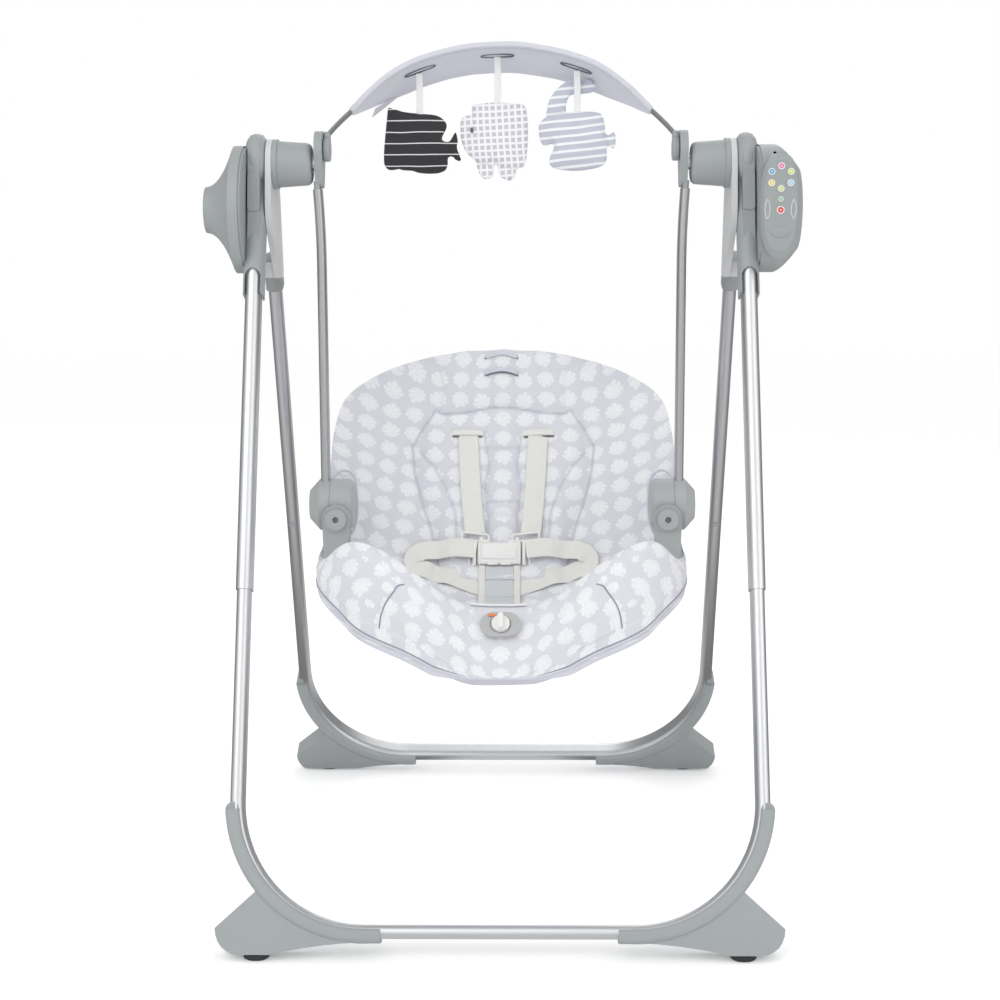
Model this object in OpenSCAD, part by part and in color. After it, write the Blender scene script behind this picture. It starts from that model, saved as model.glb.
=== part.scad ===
/* [Stand] */
// Height of the swing axis above the floor
hub_z = 904; // [860:1:950]
// Lean of each leg frame from upright, degrees
leg_lean = 21.5; // [19:0.5:24]
// Middle of a front leg, from the middle of the swing
front_leg_x = 307; // [303:1:312]
// How far each rear leg stands inside the front leg
rear_leg_inset = 10; // [9:0.5:11]
// Narrow side of the oval leg tube
tube_w = 16; // [14:0.5:18]
// Deep side of the oval leg tube
tube_d = 30; // [26:0.5:32]
// Wall of the leg tubes
tube_wall = 1.5; // [1.2:0.1:2]
// Bend radius of the base tubes, on the tube's middle
bend_r = 150; // [130:1:170]
// Height of the base bar's middle above the floor
bar_z = 27; // [25:1:32]
// Height of the joint between upper and lower tube
seam_z = 398; // [350:1:450]

/* [Feet] */
// Thickness of the foot shell's toe
toe_t = 32; // [28:1:34]
// Thickness of the foot shell's band around the tube
band_t = 38; // [36:1:42]
// How far the toe reaches outside the leg
toe_reach = 20; // [16:1:26]
// Rounding of the toe's end
toe_r = 28; // [24:1:32]
// Half length left bare between the foot shells
foot_gap = 137; // [120:1:150]
// Rubber pad, across
pad_w = 30; // [24:1:34]
// Rubber pad, front to back
pad_d = 26; // [20:1:28]
// Rubber pad, height
pad_h = 7; // [5:0.5:8]

/* [Hubs] */
// Width of the leg hub
hub_w = 25.5; // [25:0.5:27]
// Radius of the hub's round head
hub_r = 38; // [36:0.5:40]
// Length of the hub's leg sleeve, from the axis
sleeve_len = 175; // [165:1:190]
// Depth of the hub's leg sleeve
sleeve_d = 42; // [40:0.5:44]
// Radius of the round side cover
cover_r = 79; // [76:0.5:82]
// Depth of the side cover
cover_depth = 50; // [46:1:54]
// Radius of the left cover's outer face
cover_face_r = 28.5; // [24:0.5:34]
// Wall of the casings
case_wall = 2.5; // [2:0.1:3]
// Radius of the axle housing at the hub
housing_r = 29; // [28:0.5:30]
// Length of the axle housing's barrel
housing_len = 42.5; // [38:0.5:44]
// Radius of the swing axle
axle_r = 8; // [6:0.5:9]
// Radius of the hub spigot that the rear bracket turns on
spigot_r = 20; // [18:0.5:22]
// Thickness of the rear leg's bracket plate
bracket_t = 7.2; // [6:0.2:8]

/* [Swing] */
// Middle of a swing arm at the seat, from the middle of the swing
arm_x = 228.5; // [226:0.5:231]
// Swing arm, thin side
arm_w = 11; // [9:0.5:12]
// Swing arm, deep side
arm_d = 25; // [22:0.5:27]
// Length of the outward bend at the arm's top
arm_bend = 100; // [80:1:120]
// Gap between an axle housing and the arm's head
head_gap = 4; // [2:0.5:6]
// Height of the seat's recline axis
joint_z = 469; // [450:1:490]
// Radius of the seat joints
joint_r = 33.5; // [31:0.5:35]
// Radius of the recline pin
recline_pin_r = 10; // [8:0.5:12]

/* [Seat] */
// Thickness of the padded cover
pad_t = 18; // [14:0.5:20]
// Thickness of the seat shell
shell_t = 4; // [3:0.5:5]
// Thickness of the fabric under the seat
sling_t = 3; // [2.5:0.5:3.5]
// Width of the harness webbing
web_w = 25; // [20:1:30]
// Thickness of the harness webbing
web_t = 1.8; // [1.4:0.1:2.4]

/* [Toy bar] */
// Radius of the toy bar's arch
arch_r = 276; // [270:1:282]
// How far the arch's centre lies below its pivots
arch_drop = 150; // [145:1:155]
// Height of the toy bar's pivots above the swing axis
pivot_rise = 18; // [16:0.5:20]
// Lean of the toy bar to the back, degrees
arch_lean = 22; // [10:1:30]
// Width of the padded strip
strip_w = 90; // [80:1:96]
// Thickness of the padded strip
strip_t = 8; // [7:0.5:10]
// Length of the toys' straps
toy_strap = 46; // [40:1:50]

/* [Remote control] */
// Width of the remote
remote_w = 47; // [45:1:50]
// Height of the remote
remote_h = 126; // [122:1:132]
// Thickness of the remote
remote_t = 22; // [18:1:26]
// Radius of a round key
key_r = 4.2; // [3.8:0.1:4.6]
// Travel of the keys
key_travel = 1; // [0.8:0.1:1.5]

/* [Hidden] */

$fn = 64;
eps = 0.01;
// running clearance of pins and shafts
run_gap = 0.05;
// clearance of parts pressed together
press_gap = 0.02;
// clearance of parts pushed into one another
fit_gap = 0.1;
// clearance between a moving part and its neighbour
side_gap = 0.3;

plastic = "darkgray";
metal = "silver";
cloth = "lavender";

rear_leg_x = front_leg_x - rear_leg_inset;
hub_in = front_leg_x - hub_w / 2;
hub_out = front_leg_x + hub_w / 2;
leg_len = (hub_z - bar_z) / cos(leg_lean);
seam_s = (hub_z - seam_z) / cos(leg_lean);
upper_w = tube_w + 2 * (tube_wall + fit_gap);
upper_d = tube_d + 2 * (tube_wall + fit_gap);
insert_len = 60;
leg_top_s = 80;

// distance down a leg at which it reaches height z
function down_leg(z) = (hub_z - z) / cos(leg_lean);

// ---- placing ----
module in_leg_plane() {
    translate([0, 0, hub_z]) rotate([-(90 + leg_lean), 0, 0]) children();
}

module front() { in_leg_plane() children(); }

module rear() { mirror([0, 1, 0]) in_leg_plane() children(); }

// draws the right-hand part, or its mirror image on the left
module on_side(side) {
    mirror([side < 0 ? 1 : 0, 0, 0]) children();
}

module both_sides() {
    for (side = [-1, 1]) on_side(side) children();
}

// turns a part made along Z into one along X, starting at x
module along_x(x, y = 0, z = hub_z) {
    translate([x, y, z]) rotate([0, 90, 0]) children();
}

// ---- shapes ----
// a flat oval: straight sides and half-round ends along its longer side
module oval(w, d) {
    r = min(w, d) / 2;
    across = w / 2 - r;
    up = d / 2 - r;
    square([max(2 * across, w > d ? 0 : w), max(2 * up, d > w ? 0 : d)], center = true);
    for (i = [-1, 1]) translate([i * across, i * up]) circle(r = r);
}

module rounded_rect(w, h, r) {
    square([w - 2 * r, h], center = true);
    square([w, h - 2 * r], center = true);
    for (i = [-1, 1], j = [-1, 1]) {
        translate([i * (w / 2 - r), j * (h / 2 - r)]) circle(r = r);
    }
}

// two circles and the band between them, a hair inside their tangents
module link_2d(a, ra, b, rb) {
    d = norm(b - a);
    t = atan2(b.y - a.y, b.x - a.x);
    f = acos((ra - rb) / d);
    pa = ra - 0.05;
    pb = rb - 0.05;
    translate(a) circle(r = ra);
    translate(b) circle(r = rb);
    polygon([
        a + pa * [cos(t + f), sin(t + f)], a + pa * [cos(t - f), sin(t - f)],
        b + pb * [cos(t - f), sin(t - f)], b + pb * [cos(t + f), sin(t + f)]
    ]);
}

// a flat link standing in the YZ plane, from x to x + t; points are [y, z]
module side_link(x, t, a, ra, b, rb) {
    translate([x, 0, 0]) rotate([90, 0, 90]) linear_extrude(t) link_2d(a, ra, b, rb);
}

module leg_run(x, from, to, w, d) {
    translate([x, from, 0]) rotate([-90, 0, 0]) linear_extrude(to - from) oval(w, d);
}

// ---- leg tubes, drawn in the leg plane ----
module u_run(leg_x, from, w, d) {
    both_sides() {
        leg_run(leg_x, from, leg_len - bend_r, w, d);
        translate([leg_x - bend_r, leg_len - bend_r, 0])
            rotate_extrude(angle = 90, $fn = 96) translate([bend_r, 0]) oval(w, d);
    }
    translate([-(leg_x - bend_r), leg_len, 0]) rotate([0, 90, 0])
        linear_extrude(2 * (leg_x - bend_r)) rotate(90) oval(w, d);
}

module front_base_tube() {
    color(metal) front() difference() {
        u_run(front_leg_x, seam_s - insert_len, tube_w, tube_d);
        u_run(front_leg_x, seam_s - insert_len - 1, tube_w - 2 * tube_wall, tube_d - 2 * tube_wall);
    }
}

module front_leg(side) {
    color(metal) on_side(side) front() difference() {
        leg_run(front_leg_x, leg_top_s, seam_s, upper_w, upper_d);
        leg_run(front_leg_x, leg_top_s - 1, seam_s + 1, upper_w - 2 * tube_wall, upper_d - 2 * tube_wall);
    }
}

neck_w = tube_w - 2 * (tube_wall + fit_gap);
neck_d = tube_d - 2 * (tube_wall + fit_gap);
shoulder = 3;
snap_r = 3.5;
snap_s = seam_s - 18;
snap_proud = 1.6;
snap_travel = 2.5;

module rear_base_tube() {
    inner_w = tube_w - 2 * tube_wall;
    inner_d = tube_d - 2 * tube_wall;
    color(metal) rear() difference() {
        union() {
            u_run(rear_leg_x, seam_s, tube_w, tube_d);
            both_sides() leg_run(rear_leg_x, seam_s - insert_len, seam_s + shoulder, neck_w, neck_d);
        }
        u_run(rear_leg_x, seam_s + shoulder, inner_w, inner_d);
        both_sides() {
            leg_run(rear_leg_x, seam_s - insert_len - 1, seam_s + shoulder + 1,
                neck_w - 2 * tube_wall, neck_d - 2 * tube_wall);
            translate([rear_leg_x, snap_s, 0]) cylinder(r = snap_r + run_gap, h = tube_d);
        }
    }
}

rear_socket_s = 126;
rear_socket_end = 168;

module rear_leg(side) {
    color(metal) on_side(side) rear() difference() {
        leg_run(rear_leg_x, rear_socket_s + 4, seam_s, tube_w, tube_d);
        leg_run(rear_leg_x, rear_socket_s, seam_s + 1, tube_w - 2 * tube_wall, tube_d - 2 * tube_wall);
        translate([rear_leg_x, snap_s, 0]) cylinder(r = snap_r + run_gap, h = tube_d);
    }
}

module snap_button(side) {
    inside = neck_d / 2 - tube_wall - side_gap - snap_travel;
    color(plastic) on_side(side) rear() translate([rear_leg_x, snap_s, inside])
        cylinder(r = snap_r, h = tube_d / 2 + snap_proud - inside);
}

// ---- feet ----
band_in = bend_r - 4;
band_out = bend_r + tube_w / 2 + 5;
band_from = 4;
notch_angle = 40;
shell_low_z = 3;
inner_low_z = 16.5;
toe_top_z = shell_low_z + toe_r;
heel_back = 62;

function foot_outline(leg_x) = let(
    cx = leg_x - bend_r,
    cs = leg_len - bend_r,
    tip = leg_x + toe_reach,
    end_x = foot_gap + 0.5,
    heel = tip - heel_back
) concat(
    [[cx + band_out * cos(notch_angle), cs + band_out * sin(notch_angle)]],
    [for (a = [0:15:90]) [tip - toe_r + toe_r * cos(a), down_leg(toe_top_z) + (toe_r / cos(leg_lean)) * sin(a)]],
    [for (k = [0:6]) let(x = heel + (end_x - heel) * k / 6, f = (x - end_x) / (heel - end_x))
        [x, down_leg(inner_low_z - (inner_low_z - shell_low_z) * f * f)]],
    [[end_x, leg_len], [cx, leg_len]],
    [for (a = [80:-10:notch_angle]) [cx + bend_r * cos(a), cs + bend_r * sin(a)]]
);

module foot_band(leg_x) {
    band_w = band_out - band_in;
    band_mid = (band_in + band_out) / 2;
    translate([leg_x - bend_r, leg_len - bend_r, 0]) {
        rotate([0, 0, band_from]) rotate_extrude(angle = 92 - band_from, $fn = 96)
            translate([band_mid, 0]) rounded_rect(band_w, band_t, 6, $fn = 32);
        rotate([0, 0, band_from]) translate([band_mid, 0, 0])
            cylinder(d = band_w - 1, h = band_t - 8, center = true);
        translate([3, band_mid, 0]) rotate([0, -90, 0])
            linear_extrude(leg_x - bend_r - foot_gap + 3) rounded_rect(band_t - 0.4, band_w - 0.4, 6, $fn = 32);
    }
}

module pad_place(leg_x) {
    translate([leg_x + toe_reach - toe_r - 19, -(hub_z - shell_low_z) * tan(leg_lean), 0]) children();
}

module foot_body(leg_x) {
    difference() {
        in_leg_plane() difference() {
            union() {
                translate([0, 0, -toe_t / 2]) linear_extrude(toe_t) polygon(foot_outline(leg_x));
                foot_band(leg_x);
            }
            u_run(leg_x, leg_len - bend_r - 20, tube_w + 2 * fit_gap, tube_d + 2 * fit_gap);
        }
        translate([0, -hub_z, -50 + shell_low_z]) cube([2 * hub_z, 2 * hub_z, 100], center = true);
        pad_place(leg_x) linear_extrude(pad_h + fit_gap) oval(pad_w + 2 * fit_gap, pad_d + 2 * fit_gap);
    }
}

module front_foot(side) { color(plastic) on_side(side) foot_body(front_leg_x); }

module rear_foot(side) { color(plastic) mirror([0, 1, 0]) on_side(side) foot_body(rear_leg_x); }

module pads(leg_x) {
    color("black") both_sides() pad_place(leg_x) {
        translate([0, 0, 1.5]) linear_extrude(pad_h - 1.5) oval(pad_w, pad_d);
        linear_extrude(1.5) oval(pad_w - 4, pad_d - 4);
    }
}

module front_pads() { pads(front_leg_x); }

module rear_pads() { mirror([0, 1, 0]) pads(rear_leg_x); }

// ---- hubs ----
cover_z = hub_z - 56.5;
cover_y = -(hub_z - cover_z) * tan(leg_lean);
flange_t = 3;
bush_t = 3;
bush_r = axle_r + bush_t;
mouth_s = sleeve_len - 22;
release_s = 24;
release_len = 48;
release_w = 15;
release_in = 20;
release_proud = 1;
release_travel = 3;
hub_web = hub_w - 11;
web_len = 2.6 * hub_r;

module release_outline(grow) {
    translate([front_leg_x, release_s + release_len / 2]) rounded_rect(release_w + 2 * grow, release_len + 2 * grow, 5 + grow);
}

// the tapered rib that joins the hub's head to its sleeve
module hub_web_run(w, grow) {
    translate([front_leg_x - w / 2, 0, 0]) rotate([0, 90, 0])
        linear_extrude(w) link_2d([0, 0], hub_r - 1.5 + grow, [0, web_len], sleeve_d / 2 - 0.5 + grow);
}

module hub(side) {
    color(plastic) on_side(side) difference() {
        union() {
            along_x(front_leg_x) rotate_extrude($fn = 96) {
                translate([0, -hub_w / 2]) square([hub_r - hub_w / 2, hub_w]);
                translate([hub_r - hub_w / 2, 0]) circle(d = hub_w);
            }
            front() leg_run(front_leg_x, 0, sleeve_len, hub_w - 0.6, sleeve_d);
            front() hub_web_run(hub_web, 0);
            difference() {
                along_x(hub_out - flange_t, cover_y, cover_z) cylinder(r = cover_r - case_wall, h = flange_t);
                if (side > 0) translate([0, dock_y - 2 * cover_r, 0]) cube([2 * hub_out, 2 * cover_r, 2 * hub_z]);
            }
        }
        front() {
            leg_run(front_leg_x, leg_top_s, sleeve_len + 1, upper_w + 2 * fit_gap, upper_d + 2 * fit_gap);
            translate([front_leg_x, mouth_s, 0]) {
                cylinder(d = upper_w + 2 * fit_gap, h = 3 * sleeve_d, center = true);
                translate([-upper_w / 2 - fit_gap, 0, -sleeve_d]) cube([upper_w + 2 * fit_gap, sleeve_len, 2 * sleeve_d]);
            }
            translate([0, 0, -2 * hub_r]) linear_extrude(2 * hub_r - release_in + release_travel + side_gap)
                release_outline(side_gap);
        }
        along_x(hub_in - 1) cylinder(r = bush_r, h = hub_w + 2);
        along_x(hub_in - 1) cylinder(r = spigot_r + press_gap, h = 5);
    }
}

module release_button(side) {
    color(plastic) on_side(side) front() intersection() {
        translate([0, 0, -2 * hub_r]) linear_extrude(2 * hub_r - release_in) release_outline(0);
        hub_web_run(hub_w, release_proud);
    }
}

// outer outline of the left cover, [radius, distance out]
function flared(inset) = [
    for (k = [0:10]) let(t = k / 10) [
        cover_face_r - inset + (cover_r - cover_face_r) * (1 - t) * (1 - t),
        12 + (cover_depth - 12 - inset) * t
    ]
];

// outer outline of the right cover, [radius, distance out]
function rounded(inset) = [
    for (k = [0:10]) let(t = k / 10) [
        cover_r - inset - (cover_r - 51) * pow(t, 1.5),
        20 + (cover_depth - 20 - inset) * t
    ]
];

module cover_shell(outer, inner) {
    difference() {
        rotate_extrude($fn = 96) polygon(concat([[0, 0], [outer[0][0], 0]], outer, [[0, outer[10][1]]]));
        translate([0, 0, -eps]) rotate_extrude($fn = 96)
            polygon(concat([[0, 0], [inner[0][0], 0]], inner, [[0, inner[10][1]]]));
    }
}

module hub_cover_left() {
    color(plastic) on_side(-1) along_x(hub_out, cover_y, cover_z) cover_shell(flared(0), flared(case_wall));
}

dock_y = cover_y - 57;
remote_x = hub_out + 19;
remote_z = cover_z + 4;

module hub_cover_right() {
    front_face = dock_y - cover_y;
    color(plastic) difference() {
        along_x(hub_out, cover_y, cover_z) union() {
            difference() {
                cover_shell(rounded(0), rounded(case_wall));
                translate([-cover_r, front_face - cover_r, -1]) cube([2 * cover_r, cover_r, 2 * cover_depth]);
            }
            intersection() {
                rotate_extrude($fn = 96) polygon(concat([[0, 0], [cover_r, 0]], rounded(0), [[0, cover_depth]]));
                translate([-cover_r, front_face, 0]) cube([2 * cover_r, case_wall, cover_depth]);
            }
        }
        translate([remote_x - 3, dock_y - 5, hub_z + 11]) rotate([-90, 0, 0]) cylinder(r = 2, h = 30);
    }
}

// ---- axles and their housings ----
ring_r = housing_r + 2;
ring_out = hub_in - bracket_t - 2 * side_gap;
ring_w = 6;
barrel_out = ring_out - ring_w;
barrel_in = barrel_out - housing_len;
end_wall = 5;
end_r = housing_r - 2.6;
corner_r = 7;

module axle_housings() {
    cavity_r = end_r - 4;
    color(plastic) both_sides() along_x(barrel_in) difference() {
        union() {
            rotate_extrude($fn = 96) polygon(concat(
                [[0, 0]],
                [for (a = [-90:15:0]) [end_r - corner_r + corner_r * cos(a), corner_r + corner_r * sin(a)]],
                [[housing_r, housing_len], [0, housing_len]]
            ));
            translate([0, 0, housing_len]) cylinder(r = ring_r, h = ring_w);
            translate([0, 0, housing_len]) cylinder(r = spigot_r, h = hub_in + 4 - barrel_out);
        }
        translate([0, 0, -1]) cylinder(r = bush_r, h = 200);
        translate([0, 0, end_wall]) cylinder(r = cavity_r, h = housing_len - end_wall);
    }
}

module axle_bushes() {
    color("white") both_sides() {
        for (place = [[barrel_in, end_wall + 5], [hub_in + 5, hub_w - 5]]) {
            along_x(place[0]) difference() {
                cylinder(r = bush_r, h = place[1]);
                translate([0, 0, -1]) cylinder(r = axle_r + run_gap, h = place[1] + 2);
            }
        }
    }
}

head_t = 10;
head_x = barrel_in - head_gap - head_t / 2;
arm_top_x = head_x + 3;
lever_x = hub_out + 2;
lever_t = 6;

module swing_axles() {
    color(metal) both_sides() along_x(head_x - head_t / 2 + 1) cylinder(r = axle_r, h = lever_x + lever_t - head_x + head_t / 2 - 1);
}

arm_top_z = hub_z - 30;
tongue_len = 34;
disc_t = 9;
disc_r = 15;
head_r = 24;
pivot_z = hub_z + pivot_rise;
pivot_pin_r = 5;

// the arm bends outwards on an arc, from upright at arm_bend_z to its top under the head
arm_bend_z = arm_top_z - arm_bend;
arm_bow = arm_top_x - arm_x;
arm_bend_r = (arm_bend * arm_bend + arm_bow * arm_bow) / (2 * arm_bow);
// turn for each millimetre along the arc, and the turn where the arm ends
arm_curve = 180 / (PI * arm_bend_r);
arm_end_angle = asin((arm_bend - 1) / arm_bend_r);

module arm_arc(from, to) {
    translate([arm_x + arm_bend_r, 0, arm_bend_z]) rotate([90, 0, 0]) rotate([0, 0, 180 - to])
        rotate_extrude(angle = to - from, $fn = 1440) translate([arm_bend_r, 0]) let($fn = 64) children();
}

module arm_heads() {
    color(plastic) both_sides() difference() {
        union() {
            side_link(head_x - head_t / 2, head_t, [0, pivot_z - 1], head_r, [0, arm_top_z + 13], 13);
            arm_arc(arm_end_angle - tongue_len * arm_curve, arm_end_angle + 10 * arm_curve)
                oval(arm_w - 2 * tube_wall - 2 * fit_gap, arm_d - 2 * tube_wall - 2 * fit_gap);
            along_x(head_x - head_t / 2 - disc_t + 1, 0, pivot_z) cylinder(r = pivot_pin_r, h = disc_t);
        }
        along_x(head_x - head_t / 2 + 1) cylinder(r = axle_r + press_gap, h = head_t);
    }
}

arm_end_z = joint_z + 8;

module arm_run(sink) {
    extra = sink > 0 ? 1 : 0;
    w = arm_w - 2 * sink;
    d = arm_d - 2 * sink;
    translate([arm_x, 0, arm_end_z - extra]) linear_extrude(arm_bend_z - arm_end_z + extra) oval(w, d);
    arm_arc(0, arm_end_angle + extra * arm_curve) oval(w, d);
}

module swing_arm(side) {
    color(metal) on_side(side) difference() {
        arm_run(0);
        arm_run(tube_wall);
    }
}

magnet_drop = 55;

module drive_lever() {
    color("white") on_side(-1) difference() {
        union() {
            side_link(lever_x, lever_t, [0, hub_z], 14, [0, hub_z - magnet_drop], 10);
            along_x(lever_x + lever_t, 0, hub_z - magnet_drop) cylinder(r = 9, h = 4);
        }
        along_x(lever_x - 1) cylinder(r = axle_r + press_gap, h = lever_t + 2);
    }
}

module drive_coil() {
    coil_x = lever_x + lever_t + 6;
    coil_z = hub_z - magnet_drop;
    post_z = coil_z - 30;
    color("goldenrod") on_side(-1) {
        difference() {
            along_x(coil_x, 0, coil_z) cylinder(r = 15, h = 6);
            along_x(coil_x - 1, 0, coil_z) cylinder(r = 5, h = 6);
        }
        translate([coil_x + 5, -9, post_z]) cube([3, 18, 42]);
        translate([hub_out, -9, post_z]) cube([coil_x + 6 - hub_out, 18, 8]);
    }
}

cell_r = 13;
cell_len = 50;

module battery_cells() {
    color("silver") for (k = [0:3]) {
        translate([hub_out + side_gap + cell_r, cover_y + 4 + (k - 1.5) * (2 * cell_r + 0.6), cover_z - cell_len / 2]) {
            cylinder(r = cell_r, h = cell_len - 1);
            cylinder(r = 4, h = cell_len);
        }
    }
}

// ---- rear leg brackets ----
web_r = 48;
web_s = 53;
web_in = 12;
socket_w = 22;
socket_d = 36;

module rear_bracket(side) {
    plate_x = hub_in - side_gap - bracket_t;
    color(plastic) on_side(side) rear() difference() {
        union() {
            translate([plate_x, 0, 0]) rotate([0, 90, 0]) linear_extrude(bracket_t) {
                link_2d([0, 0], ring_r, [-web_in, web_s], web_r);
                link_2d([-web_in, web_s], web_r, [0, rear_socket_end - 22], socket_d / 2);
            }
            leg_run(rear_leg_x, rear_socket_s, rear_socket_end, socket_w, socket_d);
        }
        leg_run(rear_leg_x, rear_socket_s + 4, rear_socket_end + 1, tube_w + 2 * fit_gap, tube_d + 2 * fit_gap);
        translate([plate_x - 1, 0, 0]) rotate([0, 90, 0]) cylinder(r = spigot_r + run_gap, h = bracket_t + 2);
    }
}

// ---- seat joints ----
joint_face = arm_x - arm_w / 2 - 1;
joint_w = 27;
joint_face_r = 19;
pin_len = 22;

module joint_outer(side) {
    color(plastic) on_side(side) difference() {
        union() {
            along_x(joint_face, 0, joint_z) {
                cylinder(r = joint_r, h = joint_w - 13);
                translate([0, 0, joint_w - 13]) cylinder(r1 = joint_r, r2 = joint_face_r, h = 13);
            }
            along_x(joint_face - pin_len, 0, joint_z) cylinder(r = recline_pin_r, h = pin_len);
        }
        translate([arm_x, 0, arm_end_z]) linear_extrude(joint_w + joint_r) oval(arm_w + 2 * fit_gap, arm_d + 2 * fit_gap);
    }
}

inner_w = 30;
lug_x = joint_face - side_gap - 22;
lug_t = 12;
lug_end = [38, joint_z - 82];
tab_y = -43;
tab_t = 6;
boss_x = joint_face - 10;
boss_z = joint_z - 12;
boss_r = 13.5;

module joint_lug(grow) {
    side_link(lug_x - grow, lug_t + 2 * grow, [0, joint_z], 22 + grow, lug_end, 11 + grow);
}

module joint_tab(grow) {
    translate([0, tab_y + tab_t + grow, 0]) rotate([90, 0, 0]) linear_extrude(tab_t + 2 * grow)
        link_2d([boss_x, boss_z], 18 + grow, [boss_x + 2, boss_z - 48], 15 + grow);
}

module joint_inner(side) {
    r = joint_r - 0.5;
    round_r = 8;
    color(plastic) on_side(side) difference() {
        union() {
            along_x(joint_face - side_gap - inner_w, 0, joint_z) rotate_extrude(angle = 360) {
                translate([0, round_r]) square([r, inner_w - round_r]);
                square([r - round_r, inner_w]);
                translate([r - round_r, round_r]) circle(r = round_r, $fn = 32);
            }
            joint_lug(0);
            joint_tab(0);
            translate([boss_x - 12, tab_y + 1, boss_z - 14]) cube([20, 30, 24]);
        }
        along_x(joint_face - pin_len - 1, 0, joint_z) cylinder(r = recline_pin_r + run_gap, h = 2 * pin_len);
        translate([boss_x, tab_y - 1, boss_z]) rotate([-90, 0, 0]) cylinder(r = 6 + fit_gap, h = 16);
    }
}

module joint_pins() {
    color(plastic) both_sides() translate([boss_x, tab_y - 8, boss_z]) rotate([-90, 0, 0]) difference() {
        union() {
            cylinder(r = boss_r, h = 8);
            cylinder(r = 6, h = 22);
        }
        translate([0, 0, -1]) cylinder(r = 4, h = 8);
    }
}

// ---- seat surface ----
// middle of the seat's top surface from the back's top to the front lip, as [y, z] from the recline axis
seat_in = [
    [172, 184], [167, 172], [160, 150], [148, 112], [128, 66], [102, 18], [76, -32], [48, -84],
    [10, -124], [-40, -136], [-95, -122], [-135, -104], [-162, -104], [-182, -117], [-196, -137],
    [-204, -156], [-207, -166]
];
// the same for its underside
seat_out = [
    [187, 178], [187, 161], [184, 136], [176, 94], [165, 46], [151, -4], [135, -66], [110, -139],
    [65, -205], [5, -234], [-60, -230], [-115, -212], [-152, -194], [-178, -182], [-194, -176],
    [-203, -174], [-207, -173]
];
// half widths at the same places
seat_half = [50, 99, 158, 209, 225, 228, 230, 231, 233, 233, 230, 222, 200, 170, 110, 62, 40];
// how far the rim rises above the middle at the same places
seat_rise = [2, 10, 20, 32, 46, 56, 62, 72, 80, 82, 62, 34, 16, 6, 2, 0, 0];
// height of the thigh bolsters inside the rim at the same places
seat_brow = [0, 0, 0, 0, 0, 0, 0, 2, 15, 42, 58, 70, 72, 56, 32, 10, 0];
// where the bolsters start and where their tops lie, as shares of the half width
brow_start = 0.12;
brow_top = 0.8;

// thickness of the seat at its rim
rim_t = pad_t + shell_t + sling_t + 3;
seat_rows = 25;
seat_cols = 16;

function curve(a, b, c, d, t) =
    0.5 * (2 * b + (c - a) * t + (2 * a - 5 * b + 4 * c - d) * t * t + (3 * b - a - 3 * c + d) * t * t * t);

function along(list, u) = let(n = len(list) - 1, i = min(n - 1, max(0, floor(u * n))))
    curve(list[max(i - 1, 0)], list[i], list[i + 1], list[min(i + 2, n)], u * n - i);

// outline of a bolster across the seat: nothing in the middle and at the rim, 1 at its top
function brow_shape(s) = let(
    t = max(min((s - brow_start) / (brow_top - brow_start), 1), 0),
    f = max(s - brow_top, 0) / (1 - brow_top)
)
    t * t * (3 - 2 * t) - f * f;

// a point of the seat: u down its length, v across, depth and share of the full thickness below its top
function seat_point(u, v, depth, share) = let(
    s = sin(90 * v),
    top = along(seat_in, u),
    down = along(seat_out, u) - top,
    full = norm(down),
    edge = min(rim_t, full),
    thick = edge + (full - edge) * (1 - pow(abs(s), 3)),
    lift = along(seat_rise, u) * pow(s, 4) + along(seat_brow, u) * brow_shape(abs(s)),
    way = depth * edge / rim_t + share * thick - lift
) [along(seat_half, u) * s, top.x + down.x / full * way, joint_z + top.y + down.y / full * way];

// the same point on the flat facets between the seat's rows and columns
function facet_point(u, v, depth, share) = let(
    i = min(seat_rows - 1, floor(u * seat_rows + eps)),
    j = min(seat_cols - 1, floor((v + 1) / 2 * seat_cols + eps)),
    f = u * seat_rows - i,
    g = (v + 1) / 2 * seat_cols - j,
    u0 = i / seat_rows,
    u1 = (i + 1) / seat_rows,
    v0 = 2 * j / seat_cols - 1,
    v1 = 2 * (j + 1) / seat_cols - 1
) (1 - f) * ((1 - g) * seat_point(u0, v0, depth, share) + g * seat_point(u0, v1, depth, share))
    + f * ((1 - g) * seat_point(u1, v0, depth, share) + g * seat_point(u1, v1, depth, share));

// a curved slab between two depths; v runs from v0 to v1 at the start and from v2 to v3 at the end
module seat_slab(u0, u1, v0, v1, v2, v3, low, high, rows, cols) {
    ring = 2 * (cols + 1);
    points = [
        for (i = [0:rows]) let(f = i / rows, u = u0 + (u1 - u0) * f, a = v0 + (v2 - v0) * f, b = v1 + (v3 - v1) * f)
            for (j = [0:ring - 1]) let(
                up = j <= cols,
                k = up ? j : ring - 1 - j,
                v = a + (b - a) * k / cols,
                level = up ? low : high
            ) facet_point(u, v, level[0], level[1])
    ];
    walls = [
        for (i = [0:rows - 1], j = [0:ring - 1]) let(
            a = i * ring + j,
            b = i * ring + (j + 1) % ring
        ) each j <= cols ? [[a, b, b + ring], [a, b + ring, a + ring]] : [[a, b, a + ring], [b, b + ring, a + ring]]
    ];
    ends = [
        for (j = [0:cols - 1]) let(a = j, b = ring - 1 - j, c = rows * ring + j, d = rows * ring + ring - 1 - j)
            each [[a, b - 1, a + 1], [a, b, b - 1], [c, c + 1, d - 1], [c, d - 1, d]]
    ];
    polyhedron(points, concat(walls, ends));
}

module joint_clear(r) {
    both_sides() along_x(joint_face - side_gap - inner_w - 12, 0, joint_z) cylinder(r = r, h = 4 * inner_w);
}

module bracket_clear(grow) {
    both_sides() {
        joint_lug(grow);
        joint_tab(grow);
    }
}

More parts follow.
